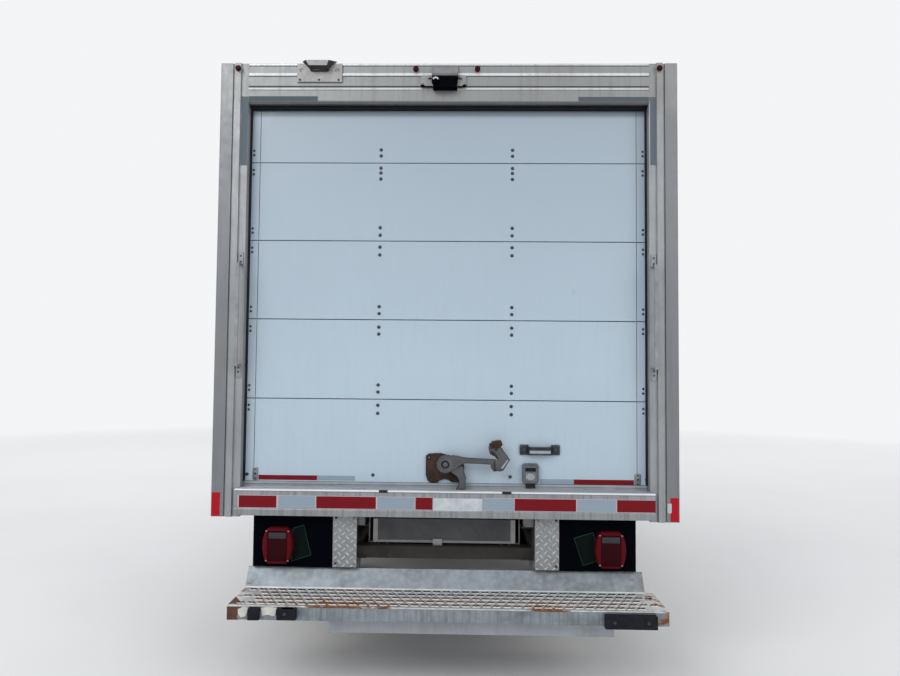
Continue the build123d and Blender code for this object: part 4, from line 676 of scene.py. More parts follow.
def ground():
    g = Graph("floor", 0.9, Specular_IOR_Level=0.2)
    g.colour(g.mix(g.span(g.noise(0.6, detail=6), 0.3, 0.7), (0.80, 0.80, 0.80, 1), (0.77, 0.77, 0.77, 1)))
    far = g.node("ShaderNodeEmission")
    far.inputs["Color"].default_value = BACKDROP
    away = g.node("ShaderNodeVectorMath", operation="LENGTH")
    g.put(away.inputs[0], g.where)
    seen_floor = g.node("ShaderNodeLightPath")
    looked_at = g.sum("MAXIMUM", seen_floor.outputs["Is Camera Ray"], seen_floor.outputs["Is Glossy Ray"])
    share = g.sum("MULTIPLY", g.span(away.outputs["Value"], 4.5, 13.0), looked_at)
    both = g.node("ShaderNodeMixShader")
    g.put(both.inputs[0], share)
    g.put(both.inputs[1], g.bsdf.outputs[0])
    g.put(both.inputs[2], far.outputs[0])
    g.put(g.tree.nodes["Material Output"].inputs["Surface"], both.outputs[0])
    mesh = bpy.data.meshes.new("floor")
    reach = 60.0
    corners = [(-reach, -reach, 0), (reach, -reach, 0), (reach, reach, 0), (-reach, reach, 0)]
    mesh.from_pydata(corners, [], [(0, 1, 2, 3)])
    mesh.materials.append(g.mat)
    floor = linked("floor", mesh)


camera()
surroundings()
lamps()
ground()


# Roll-up door: fasteners, stile lines and tapes
def door_details():
    bolts = Build("bolt_dark")
    heights = (1652, 1622, 1561, 1537, 1507, 1265, 1228, 1169, 1130, 876, 842, 776, 742, 494, 460, 396, 357)
    spots = [(x, z, 0.0085, 0.005) for z in heights for x in (-326, 321)]
    spots += [(x, z, 0.0085, 0.005) for x, z in ((-957, 57), (-345, 60), (971, 52))]
    seams = (427, 811, 1199, 1586)
    spots += [(x, seam + dz, 0.006, 0.004) for seam in seams for x in (-956, 956)
              for dz in (-58, -36, 38, 60)]
    for x, z, radius, height in spots:
        bolts.dome((x / 1000, DOOR_Y, SILL + z / 1000), BACK, radius, height)
    bolts.piece("door_bolts", slot="handle_steel")
    lines = Build("shade_and_grime")
    for x in (-925, 925):
        for z0, z1 in ((28, 424), (430, 808), (815, 1196), (1203, 1583), (1590, 1850)):
            lines.box(*mm(x - 1.1, x + 1.1), DOOR_Y - 0.0006, DOOR_Y + 0.0002, SILL + z0 / 1000,
                      SILL + z1 / 1000)
    lines.piece("door_stile_lines", slot="door_panel")


door_details()


def strips(name, finish, y, rows, body="truck", slot="sill_steel", thick=0.0007):
    """Thin tapes laid on a face that looks back: rows of x0, x1, z0, z1 in millimetres above the sill."""
    made = Build(finish)
    for x0, x1, z0, z1 in rows:
        made.box(x0 / 1000, x1 / 1000, y - thick, y + 0.0002, SILL + z0 / 1000, SILL + z1 / 1000)
    return made.piece(name, body, slot, bevel=0.0003)


SILL_TAPE = (
    # finish, x0, x1 in mm
    ("tape_red", -969, -790), ("tape_white", -781, -606), ("tape_red", -601, -319),
    ("tape_white", -312, -137), ("tape_red", -132, -52), ("tape_white", 185, 331),
    ("tape_red", 334, 621), ("tape_white", 626, 807), ("tape_red", 812, 991),
)
for finish in ("tape_red", "tape_white"):
    rows = [(x0, x1, -87, -31) for kind, x0, x1 in SILL_TAPE if kind == finish]
    strips(f"sill_{finish}", finish, SILL_Y, rows)
strips("sill_tape_ground", "tape_edge", SILL_Y, [(-976, -52, -89, -29), (185, 991, -89, -29)], thick=0.0004)
strips("sill_label", "label", SILL_Y, [(-50, 183, -91, -33), (-50, 150, -99, -90)])
strips("door_tape_red", "tape_red", DOOR_Y, [(-901, -616, 31, 54), (623, 910, 25, 50)], slot="door_panel")
strips("door_tape_white", "tape_white", DOOR_Y, [(-616, -432, 31, 54), (461, 623, 25, 50)], slot="door_panel")
camera_rows = [(-1005, -974, 1557, 1898), (979, 1005, 1563, 1876), (974, 1005, 1876, 1896)]
strips("post_tape_grey", "tape_grey", REAR + 0.004, camera_rows, slot="frame_aluminium")
strips("header_tape_grey", "tape_grey", REAR + 0.002, [(-972, -633, 1874, 1898), (634, 972, 1874, 1896)],
       slot="frame_aluminium")
strips("post_tape_red", "post_red", REAR, [(-1106, -1066, -133, -22), (1066, 1106, -133, -22)],
       slot="frame_aluminium")


def rounded(x0, x1, z0, z1, radius, steps=5, bow=0.0):
    """Outline with rounded corners, its sides bowed out by bow."""
    points = []
    for cx, cz, start in ((x1 - radius, z0 + radius, -90), (x1 - radius, z1 - radius, 0),
                          (x0 + radius, z1 - radius, 90), (x0 + radius, z0 + radius, 180)):
        for step in range(steps + 1):
            angle = math.radians(start + 90 * step / steps)
            points.append((cx + radius * math.cos(angle), cz + radius * math.sin(angle)))
    if bow:
        middle, half, centre = (z0 + z1) / 2, (z1 - z0) / 2, (x0 + x1) / 2
        filled = []
        for index, (x, z) in enumerate(points):
            filled.append((x, z))
            nz = points[(index + 1) % len(points)][1]
            if abs(nz - z) > half:
                filled += [(x, z + (nz - z) * part / 6) for part in range(1, 6)]
        points = []
        for x, z in filled:
            lift = bow * max(0.0, 1 - ((z - middle) / half) ** 2)
            points.append((x + math.copysign(lift, x - centre), z))
    return points


def scaled(points, dx, dz):
    """The outline drawn in or out about its middle by dx and dz at its edges."""
    xs, zs = [x for x, _ in points], [z for _, z in points]
    cx, cz = (min(xs) + max(xs)) / 2, (min(zs) + max(zs)) / 2
    kx, kz = 1 + dx / (max(xs) - cx), 1 + dz / (max(zs) - cz)
    return [(cx + (x - cx) * kx, cz + (z - cz) * kz) for x, z in points]


def raised(made, rings, finish=0, capped=True):
    """A form that steps through outlines of equal length, each at its own y."""
    verts = [(x, y, z) for y, outline in rings for x, z in outline]
    made.add(verts, skin(len(rings), len(rings[0][1]), not capped), finish)


def pad(made, outline, y, depths, draw):
    """A chamfered form at three depths in front of y, its last outline drawn in."""
    root, front, edge = [y - depth for depth in depths]
    raised(made, [(root, outline), (front, outline), (edge, scaled(outline, -draw, -draw))])


def repaint(name, finishes, choose):
    """More finishes on a CAD piece; choose gives the index for a face's place and normal."""
    mesh = nodes[name].data
    for finish in finishes:
        mesh.materials.append(M[finish].mat)
    for face in mesh.polygons:
        face.material_index = int(choose(face.center, face.normal))


def spread(points, longest=0.06):
    """More points along the runs of a closed outline."""
    out = []
    for index, point in enumerate(points):
        after = points[(index + 1) % len(points)]
        parts = max(1, int(math.dist(point, after) / longest))
        out += [tuple(a + (b - a) * part / parts for a, b in zip(point, after)) for part in range(parts)]
    return out


# Door latch: ragged rust on its plate, ring about its pin, lumps on its grip, fasteners, lock frame
LATCH_X, LATCH_Z = 0.006, SILL + 0.121


def at_latch(points):
    return [(LATCH_X + x / 1000, LATCH_Z + z / 1000) for x, z in points]


def latch_ring():
    centre = (LATCH_X, DOOR_Y - 0.054, LATCH_Z)
    ring = Build("black_gap", "latch_steel")
    ring.lathe([(-0.001, 0.0118), (0.0006, 0.0118), (0.0006, 0.0192), (-0.001, 0.0192)], centre, BACK, 32,
               0, True)
    ring.lathe([(-0.050, 0.0385), (0.0, 0.0405), (0.0042, 0.0385), (0.0058, 0.034), (0.0056, 0.022),
                (0.0, 0.0195)], centre, BACK, 40, 1)
    ring.lathe([(0.0, 0.0118), (0.0085, 0.0115), (0.0105, 0.009), (0.0112, 0.003)], centre, BACK, 24, 1)
    ring.piece("latch_ring", slot="latch_steel", smooth=50)


def latch_plate():
    rust = Build("plate_rust")
    ragged = 0.0018
    plate = spread(at_latch([
        (-93, -56), (-85, -81), (-70, -92), (-38, -90), (-28, -81), (-8, -74), (12, -76), (30, -87),
        (73, -89), (89, -14), (87, 19), (60, 30), (-20, 47), (-50, 46), (-80, 43), (-93, 35),
    ]), 0.007)
    outline = [(x + random.uniform(-ragged, ragged), z + random.uniform(-ragged, ragged)) for x, z in plate]
    pad(rust, outline, DOOR_Y, (0.0072, 0.0090, 0.0105), 0.004)
    rust.piece("latch_plate_rust", slot="latch_steel", smooth=60)


def latch_grip():
    knob = Build("plate_rust")
    lumps = ((216, 96, 9), (228, 104, 11), (243, 106, 12), (257, 108, 11), (262, 99, 9), (236, 92, 11),
             (250, 90, 10), (221, 84, 8), (240, 76, 8))
    for x, z, radius in lumps:
        r = radius / 1000
        spot = (LATCH_X + x / 1000, DOOR_Y - 0.060, LATCH_Z + z / 1000)
        profile = [(-0.010, r), (0.002, r), (0.007, r * 0.86), (0.010, r * 0.5), (0.011, 0.001)]
        knob.lathe(profile, spot, BACK, 14, 0)
    knob.piece("latch_grip_knob", slot="latch_steel", smooth=60)
    dark = Build("black_gap")
    dark.prism(at_latch([(221, 68), (240, 54), (250, 36), (252, 30), (244, 34), (232, 45), (216, 56),
                         (213, 64)]), 1, DOOR_Y - 0.0648, DOOR_Y - 0.0632)
    dark.piece("latch_grip_slit", slot="latch_steel")


def latch_fasteners():
    bolts = Build("bolt_dark", "screw", "plate_rust")
    for x, z in ((-80, 26), (-78, -62), (76, -30)):
        spot = (LATCH_X + x / 1000, DOOR_Y - 0.0095, LATCH_Z + z / 1000)
        bolts.hexagon(spot, BACK, 0.008, 0.006, 2)
    bolts.dome((LATCH_X - 0.079, DOOR_Y - 0.0150, LATCH_Z + 0.027), BACK, 0.0038, 0.003, 1)
    bolts.hexagon((0.3175, DOOR_Y, SILL + 0.059), BACK, 0.0085, 0.006, 0)
    bolts.dome((LATCH_X + 0.286, DOOR_Y - 0.064, LATCH_Z + 0.022), BACK, 0.004, 0.003, 1)
    for x in (383, 534):
        bolts.lathe([(0, 0.0145), (0.002, 0.014)], (x / 1000, DOOR_Y - 0.008, SILL + 0.190), BACK, 20, 0)
        bolts.hexagon((x / 1000, DOOR_Y - 0.010, SILL + 0.190), BACK, 0.0105, 0.007, 0)
    bolts.piece("latch_bolts", slot="latch_steel", bevel=0.0005)
    ends = Build("bolt_dark")
    for x in (383, 534):
        foot = rounded(x / 1000 - 0.021, x / 1000 + 0.021, SILL + 0.167, SILL + 0.213, 0.009, 4)
        pad(ends, foot, DOOR_Y, (0.0, 0.0085, 0.0100), 0.002)
    ends.piece("pull_handle_feet", slot="latch_steel", smooth=40)


def lock_details():
    slot = Build("black_gap", "lock_grey", "bolt_dark", "foot_grey")
    slot.box(0.3885, 0.4385, DOOR_Y - 0.0095, DOOR_Y - 0.0078, SILL + 0.0870, SILL + 0.1050)
    case = rounded(0.3745, 0.4525, SILL + 0.031, SILL + 0.1245, 0.012, 4)
    edge_in = scaled(case, -0.008, -0.008)
    raised(slot, [(DOOR_Y - 0.0198, scaled(case, -0.001, -0.001)),
                  (DOOR_Y - 0.0232, scaled(case, -0.003, -0.003)),
                  (DOOR_Y - 0.0232, scaled(case, -0.006, -0.006)), (DOOR_Y - 0.0198, edge_in)], 1, False)
    badge = rounded(0.391, 0.436, SILL + 0.046, SILL + 0.078, 0.005)
    raised(slot, [(DOOR_Y - 0.0195, badge), (DOOR_Y - 0.0214, scaled(badge, -0.0015, -0.0015))], 3)
    slot.box(0.391, 0.437, DOOR_Y - 0.0135, DOOR_Y - 0.0045, SILL + 0.0085, SILL + 0.0315)
    for x, z in ((0.397, 0.052), (0.430, 0.052), (0.397, 0.072), (0.430, 0.072)):
        slot.dome((x, DOOR_Y - 0.0212, SILL + z), BACK, 0.003, 0.0016, 2, 8)
    slot.piece("lock_slot", slot="latch_steel", bevel=0.0004)


for details in (latch_ring, latch_plate, latch_grip, latch_fasteners, lock_details):
    details()


def latch_edges():
    """Dark lines along the edges of plate, lever, grip and leg, with painted shade along the lever's
    underside, and painted shade and a painted highlight on the hollow front of the pull's strap.
    """
    made = Build("black_gap", "shade_and_grime")
    runs = (
        # finish, bead radius and distance off the door in mm, points across and up from the pin
        # the first run is painted shade along the lever's underside
        (0, 1.7, 55.4, [(243, -26), (232, -29), (218, -13), (216, 4), (150, 7), (94, 9), (79, 1), (58, -13)]),
        (1, 1.0, 55.6, [(64, 39), (94, 33), (150, 30), (211, 27), (238, 26)]),
        (0, 1.6, 63.6, [(250, 114), (262, 112), (266, 102), (262, 86), (305, 27), (274, -23), (256, -27),
                        (239, -23)]),
        (0, 2.4, 63.6, [(237, -24), (235, 0), (234, 20)]),
        (0, 1.8, 63.6, [(248, 28), (237, 42), (214, 52), (208, 70), (206, 86)]),
        (1, 1.3, 49.6, [(86, -12), (88, -39), (98, -62), (95, -100), (94, -115)]),
        (0, 1.8, 49.6, [(54, -114), (63, -98), (66, -77), (58, -58), (37, -43)]),
        (0, 2.2, 8.8, [(89, -20), (74, -88), (30, -87), (12, -76), (-8, -74), (-28, -81), (-38, -90),
                       (-70, -92),
                       (-85, -81), (-93, -56), (-93, 35), (-80, 44), (-50, 46), (-20, 47)]),
    )
    for finish, radius, off, points in runs:
        made.tube([(x, DOOR_Y - off / 1000, z) for x, z in at_latch(points)], radius / 1000, 6, finish)
    made.piece("latch_edges", slot="latch_steel", smooth=60)
    strap = Build("bolt_dark", "shade_and_grime", "foot_grey")
    # Painted light on the strap's hollow front: dark flats and upper slope as painted shade, the pale lower
    # slope as a painted highlight
    faces = (
        # finish, corners as mm off the door and mm above the sill
        (0, [(25.6, 205.2), (31.2, 205.2), (31.2, 201.8), (25.6, 200.5)]),
        (1, [(25.6, 202.0), (30.8, 202.0), (26.9, 188.0), (25.6, 188.0)]),
        (2, [(25.6, 188.0), (26.9, 188.0), (31.0, 174.5), (25.6, 174.5)]),
        (0, [(25.6, 174.8), (31.6, 174.8), (31.6, 170.2), (25.6, 168.5)]),
    )
    for finish, corners in faces:
        strap.prism([(DOOR_Y - off / 1000, SILL + z / 1000) for off, z in corners], 0, 0.4085, 0.5085, finish)
    strap.piece("pull_strap_front", slot="latch_steel")

    def handle_or_lock(place, _):
        if place.x > 0.355 and place.z > SILL + 0.150:
            return 1
        return 2 if place.x > 0.365 else 0

    repaint("door_latch", ("bolt_dark", "lock_grey"), handle_or_lock)


latch_edges()


# Tail lamps: bright frame, deep centre, reversing window, screws, and the bare green patch beside each
LAMP_X = 0.787
LAMP_Z0, LAMP_Z1 = SILL - 0.354, SILL - 0.186
LAMP_FACE = PANEL_Y - 0.034


def tail_lamp_details():
    frame_piece, centre = Build("lamp_red"), Build("lamp_deep")
    window, screws = Build("lamp_window"), Build("screw")
    for x in (-LAMP_X, LAMP_X):
        outer = rounded(x - 0.055, x + 0.055, LAMP_Z0 + 0.002, LAMP_Z1 - 0.002, 0.018, 4, 0.0155)
        inner = rounded(x - 0.047, x + 0.047, LAMP_Z0 + 0.010, LAMP_Z1 - 0.014, 0.012, 4, 0.001)
        levels = [(LAMP_FACE + 0.002, outer), (LAMP_FACE - 0.003, scaled(outer, -0.002, -0.002)),
                  (LAMP_FACE - 0.006, scaled(outer, -0.007, -0.005)), (LAMP_FACE - 0.005, inner),
                  (LAMP_FACE + 0.002, scaled(inner, -0.0015, -0.0015))]
        raised(frame_piece, levels)
        face = rounded(x - 0.0445, x + 0.0445, LAMP_Z0 + 0.013, LAMP_Z1 - 0.017, 0.008, 4)
        pad(centre, face, LAMP_FACE, (-0.004, 0.0005, 0.0022), 0.006)
        light = rounded(x - 0.042, x + 0.042, LAMP_Z1 - 0.050, LAMP_Z1 - 0.022, 0.004, 3)
        pad(window, light, LAMP_FACE, (-0.002, 0.0030, 0.0038), 0.002)
        for dx in (-0.053, 0.053):
            for z in (LAMP_Z0 + 0.015, LAMP_Z1 - 0.015):
                screws.dome((x + dx * 0.98, LAMP_FACE - 0.0045, z), BACK, 0.0042, 0.003)
    frame_piece.piece("tail_lamp_frames", slot="lamp_red", bevel=0.0006)
    centre.piece("tail_lamp_centres", slot="lamp_red")
    window.piece("tail_lamp_windows", slot="lamp_red")
    screws.piece("tail_lamp_screws", slot="lamp_red")
    patch, line = Build("green_patch"), Build("pale_line")
    shapes = (
        # corners across from the lamp's middle and up from the sill, in mm
        (-787, [(66, -196), (117, -180), (152, -318), (62, -348)]),
        (787, [(-165, -224), (-78, -196), (-56, -300), (-66, -330), (-124, -348)]),
    )
    for centre_x, corners in shapes:
        outline = [((centre_x + x) / 1000, SILL + z / 1000) for x, z in corners]
        patch.prism(outline, 1, PANEL_Y - 0.0007, PANEL_Y + 0.0002)
        line.prism(scaled(outline, 0.0032, 0.0032), 1, PANEL_Y - 0.0004, PANEL_Y + 0.0002)
    patch.piece("lamp_panel_patches", slot="black_metal")
    line.piece("lamp_panel_patch_edges", slot="black_metal")


tail_lamp_details()


# Tread strips: raised diamond bars, screws
def clamped(value, low, high, margin):
    return min(max(value, low + margin), high - margin)


def tread_details():
    bars, screws = Build("tread_bar"), Build("bolt_dark", "screw")
    face = PANEL_Y - 0.008
    column_pitch, row_pitch = 0.0194, 0.038
    length, width, sides = 0.0128, 0.0038, 10
    z0, z1 = SILL - 0.373, SILL - 0.124
    for x0, x1 in ((-0.528, -0.414), (0.434, 0.548)):
        columns = int((x1 - x0) / column_pitch) + 1
        rows = int((z1 - z0) / row_pitch) + 1
        for row in range(rows):
            for column in range(columns):
                cx = x0 + 0.012 + column * column_pitch
                cz = z0 + 0.006 + (row + 0.5 * (column % 2)) * row_pitch
                if cx > x1 - 0.004 or cz > z1 - 0.004:
                    continue
                lean = -1 if column % 2 else 1
                along = Vector((math.cos(math.radians(45)), math.sin(math.radians(45)) * lean))
                across = Vector((-along.y, along.x))
                root, top = [], []
                for step in range(sides):
                    angle = 2 * math.pi * step / sides
                    for points, long, wide, margin in ((root, 1.0, 1.0, 0.001), (top, 0.72, 0.35, 0.002)):
                        offset = along * math.cos(angle) * length * long
                        offset += across * math.sin(angle) * width * wide
                        points.append((clamped(cx + offset.x, x0, x1, margin),
                                       clamped(cz + offset.y, z0, z1, margin)))
                raised(bars, [(face + 0.0004, root), (face - 0.0019, top)])
        for x in (x0 + 0.014, x1 - 0.014):
            for z in (z1 - 0.016, z0 + 0.018):
                pale = (x < x0 + 0.02) != (x0 < 0)
                screws.dome((x, face - 0.001, z), BACK, 0.0062, 0.004, int(pale))
    bars.piece("tread_bars", slot="treadplate")
    screws.piece("tread_screws", slot="treadplate")


tread_details()


# Step bumper: rows of raised serrated lips round the slots, with painted shade in the slots and on the far
# lips, a painted highlight on the near crests of the front rows, and wear at the corners
STEP_X0, STEP_X1 = -0.935, 0.985


def step_teeth():
    teeth = Build("bumper_galvanised", "rusty", "shade_and_grime", "crest_highlight_and_glue", "black_gap")
    margin, rows, columns = 0.034, 5, 20
    row_pitch = (STEP_DEPTH - 2 * margin) / (rows - 1)
    column_pitch = (STEP_X1 - STEP_X0 - 2 * margin) / (columns + 0.5)
    cover, width = 0.022, 0.030
    root, peaks = STEP_TOP - 0.001, 4
    low_tooth, high_tooth, gum = 0.0024, 0.0056, 0.0012
    # side of the hole, reach from its middle, share of the teeth's height
    lips = ((-1, 0.0105, 0.55), (1, 0.0125, 1.0))
    for row in range(rows):
        lead = cover if row % 2 else 0.0
        y = STEP_LIP + margin + row * row_pitch
        for hole in range(2 * columns):
            slot_x = STEP_X0 + margin + (hole // 2 + 0.5 * (row % 2)) * column_pitch
            between = hole % 2 == 1
            over_arm = abs(abs(slot_x + 0.026) - 0.436) < 0.040
            x = slot_x + lead + (0.5 * column_pitch if between else 0.0)
            # Between the cut slots and over the arms, a black patch stands in for a slot: painted shade of a
            # hole
            if between or over_arm:
                teeth.box(x, x + width, y - 0.0052, y + 0.0052, root, STEP_TOP + 0.0004, 4)
            else:
                end = slot_x if lead else x + width
                teeth.box(end - 0.0005, end + cover + 0.0005, y - 0.0062, y + 0.0062,
                          STEP_TOP - 0.003, STEP_TOP + 0.0002)
            rusty = row < 3 or abs(x + 0.42) < 0.13 or (x < -0.75 and row < 4)
            for side, reach, share in lips:
                base, crest, out = y + side * 0.0053, y + side * 0.0062, y + side * reach
                verts = []
                for step in range(peaks + 1):
                    cx = x - 0.002 + (width + 0.004) * step / peaks
                    rise = gum + (high_tooth if step % 2 else low_tooth) * share
                    verts += [(cx, base, root), (cx, crest, STEP_TOP + rise), (cx, out, root)]
                faces = []
                for step in range(peaks):
                    a, b = 3 * step, 3 * step + 3
                    faces += [[a, b, b + 1, a + 1], [a + 1, b + 1, b + 2, a + 2], [a + 2, b + 2, b, a]]
                faces += [[0, 1, 2], [3 * peaks + 2, 3 * peaks + 1, 3 * peaks]]
                # Far lips: rust, or dark grey as painted shade of the slot's far wall; near lips of the front
                # rows: cream as a painted highlight
                tone = (1 if rusty else 2) if side > 0 else (3 if row < 3 else 0)
                teeth.add(verts, faces, tone)
    teeth.piece("step_teeth", slot="bumper_galvanised", smooth=60)


def step_edge():
    edge = Build("bumper_galvanised")
    profile = [(-0.0005, -0.006), (-0.004, -0.001), (-0.003, 0.0035), (0.002, 0.0055), (0.010, 0.0045),
               (0.014, 0.0)]
    waves, count = 44, len(profile)
    verts, faces = [], []
    for step in range(waves * 2 + 1):
        x = STEP_X0 + (STEP_X1 - STEP_X0) * step / (waves * 2)
        lift = 1.0 if step % 2 else 0.35
        verts += [(x, STEP_LIP + u, STEP_TOP + (v * lift if v > 0 else v)) for u, v in profile]
    for step in range(waves * 2):
        faces += band(step, step + 1, count, around=False)
    edge.add(verts, faces)
    edge.piece("step_front_edge", slot="bumper_galvanised", smooth=50)


def step_rust():
    rust = Build("rusty")
    corner = [(-0.9352, STEP_LIP), (-0.9352, STEP_LIP + 0.118), (-0.905, STEP_LIP + 0.070),
              (-0.880, STEP_LIP + 0.030), (-0.862, STEP_LIP)]
    rust.prism(corner, 2, STEP_TOP - 0.001, STEP_TOP + 0.0008)
    lip = [(-0.9352, 0.352), (-0.9352, 0.4135), (-0.842, 0.4135), (-0.861, 0.396), (-0.884, 0.386),
           (-0.893, 0.366), (-0.886, 0.353)]
    rust.prism(lip, 1, STEP_LIP - 0.0008, STEP_LIP + 0.001)
    end = [(STEP_LIP - 0.0005, 0.353), (STEP_LIP - 0.0005, 0.4142), (STEP_LIP + 0.110, 0.4142),
           (STEP_LIP + 0.085, 0.4075), (STEP_LIP + 0.006, 0.4075), (STEP_LIP + 0.006, 0.353)]
    rust.prism(end, 0, -0.9358, -0.9345)
    rust.piece("step_corner_rust", slot="bumper_galvanised")


def bumper_pad_details():
    smear = Build("crest_highlight_and_glue")
    marks = (
        # finish, outline across and up in mm from the sill's top
        (0, [(-888, -481), (-862, -470), (-842, -473), (-846, -492), (-853, -512), (-876, -516),
             (-887, -500)]),
        (0, [(-786, -474), (-752, -469), (-716, -474), (-712, -497), (-730, -509), (-757, -503),
             (-782, -508)]),
    )
    for finish, outline in marks:
        smear.prism([(x / 1000, SILL + z / 1000) for x, z in outline], 1, STEP_LIP - 0.0016,
                    STEP_LIP + 0.0005, finish)
    smear.piece("torn_pad_glue", slot="black_rubber", bevel=0.0006)
    pad = Build("black_rubber", "bolt_dark")
    front = STEP_LIP - 0.031
    outline = rounded(0.711, 0.923, 0.354, 0.399, 0.004, 3)
    raised(pad, [(front + 0.004, outline), (front - 0.0002, outline),
                 (front - 0.0008, scaled(outline, -0.003, -0.003)),
                 (front + 0.0022, scaled(outline, -0.008, -0.008))])
    for x in (0.745, 0.889):
        pad.hexagon((x, front + 0.0005, 0.3765), BACK, 0.008, 0.0045, 1)
    pad.piece("bumper_pad_face", slot="black_rubber", bevel=0.0006)
    torn = Build("black_rubber", "bolt_dark")
    y = STEP_LIP - 0.025
    outline = [(-714, -473), (-690, -470), (-640, -470), (-628, -480), (-630, -503), (-642, -513),
               (-676, -512), (-700, -506), (-716, -494)]
    ring = [(x / 1000, SILL + z / 1000) for x, z in outline]
    raised(torn, [(STEP_LIP + 0.001, ring), (y, ring), (y - 0.003, scaled(ring, -0.006, -0.005))])
    torn.hexagon((-0.676, y - 0.0025, SILL - 0.491), BACK, 0.009, 0.004, 1)
    torn.piece("torn_pad_end", slot="black_rubber", bevel=0.002)


for details in (step_teeth, step_edge, step_rust, bumper_pad_details):
    details()


# Rear frame: grab-handle and bracket screws, camera lens, marker lamps, eyelets, sill slots
def rear_fasteners():
    made = Build("screw", "bolt_dark")
    for x in (-0.992, 0.992):
        for z in (1.432, 1.452, 1.964, 1.992):
            made.dome((x, REAR - 0.001, z), BACK, 0.0048, 0.003, 1)
    for x in (-0.7195, -0.626, -0.531):
        made.dome((x, REAR - 0.005, TOP - 0.0840), BACK, 0.0056, 0.004, 1)
    for z in range(5):
        for x in (-1.034, 1.034):
            made.dome((x, REAR - 0.0005, 1.02 + 0.42 * z), BACK, 0.0045, 0.0025, 0)
    made.piece("rear_screws", slot="frame_aluminium")


rear_fasteners()


# Camera: pale hood and ears about a near-black body
nodes["rear_camera"].data.materials.clear()
repaint("rear_camera", ("black_metal", "bracket_aluminium"),
        lambda place, _: place.x < -0.0745 or place.x > 0.0525 or place.z > TOP - 0.079)


def rear_camera_details():
    lens_piece = Build("black_metal", "lamp_clear", "bolt_dark", "screw")
    centre = (-0.056, REAR - 0.0418, TOP - 0.108)
    lens_piece.lathe([(0.0, 0.0200), (0.004, 0.0200), (0.0065, 0.0180), (0.0065, 0.0150), (0.002, 0.0135)],
                     centre, BACK, 32, 0)
    lens_piece.lathe([(0.0015, 0.0134), (0.0042, 0.0120), (0.0060, 0.0090), (0.0070, 0.0045),
                      (0.0073, 0.0005)], centre, BACK, 28, 0)
    # Painted highlight: a pale arc standing for the reflection above the lens
    painted_glint = [(centre[0] + 0.0130 * math.cos(a), centre[1] - 0.0080, centre[2] + 0.004 + 0.0130 * math.sin(a))
           for a in (0.35, 0.7, 1.1, 1.57, 2.05, 2.45, 2.8)]
    lens_piece.tube(painted_glint, 0.0042, 8, 1)
    for x, drop in ((-0.121, 0.106), (-0.084, 0.074), (0.060, 0.074), (0.083, 0.106)):
        z = TOP - drop
        lens_piece.dome((x, REAR - 0.010, z + 0.001), BACK, 0.0052, 0.0035, 3)
        # Painted shadow: a black box just under each screw
        lens_piece.box(x - 0.010, x + 0.010, REAR - 0.0116, REAR - 0.0098, z - 0.010, z - 0.005, 0)
    # Painted shadow: a black strip under each ear
    for x0, x1 in ((-0.129, -0.075), (0.053, 0.090)):
        lens_piece.box(x0, x1, REAR - 0.0098, REAR - 0.004, TOP - 0.119, TOP - 0.1155, 0)
    lens_piece.piece("camera_lens", slot="black_metal")
    hood = Build("hood_shaded_grey", "black_gap")
    # The hood's sheet is in the darker grey, a painted shade; black side sheets and a black strip under its
    # front edge
    sheets = (
        # finish, from x, to x, corners as depth behind the rear frame and drop from its top
        (0, -0.0724, 0.0504, [(0.0035, 0.0156), (0.0464, 0.0676), (0.0464, 0.0795), (0.0450, 0.0795),
                              (0.0450, 0.0684), (0.0030, 0.0172)]),
        (1, -0.0735, 0.0515, [(0.0470, 0.0785), (0.0470, 0.0825), (0.0400, 0.0825), (0.0400, 0.0785)]),
        (1, -0.0738, -0.0732, [(-0.001, 0.0150), (0.0466, 0.0672), (0.0466, 0.0800), (-0.001, 0.0800)]),
        (1, 0.0512, 0.0518, [(-0.001, 0.0150), (0.0466, 0.0672), (0.0466, 0.0800), (-0.001, 0.0800)]),
    )
    for finish, x0, x1, corners in sheets:
        hood.prism([(REAR - depth, TOP - drop) for depth, drop in corners], 0, x0, x1, finish)
    hood.piece("camera_hood_skin", slot="black_metal")


rear_camera_details()


def marker_details():
    made = Build("bracket_aluminium", "marker_red")
    for x, y in ((-1.022, REAR - 0.006), (-0.155, REAR + 0.004), (0.145, REAR + 0.004),
                 (1.022, REAR - 0.006)):
        z = TOP - 0.029
        made.lathe([(0.0, 0.0172), (0.0015, 0.0170), (0.0022, 0.0142), (0.0, 0.0142)], (x, y, z), BACK, 28,
                   0, True)
        made.lathe([(0.0070, 0.0142), (0.0100, 0.0136), (0.0125, 0.0105), (0.0138, 0.005), (0.0140, 0.001)],
                   (x, y, z), BACK, 24, 1)
    made.piece("marker_rims", slot="lamp_red")


marker_details()


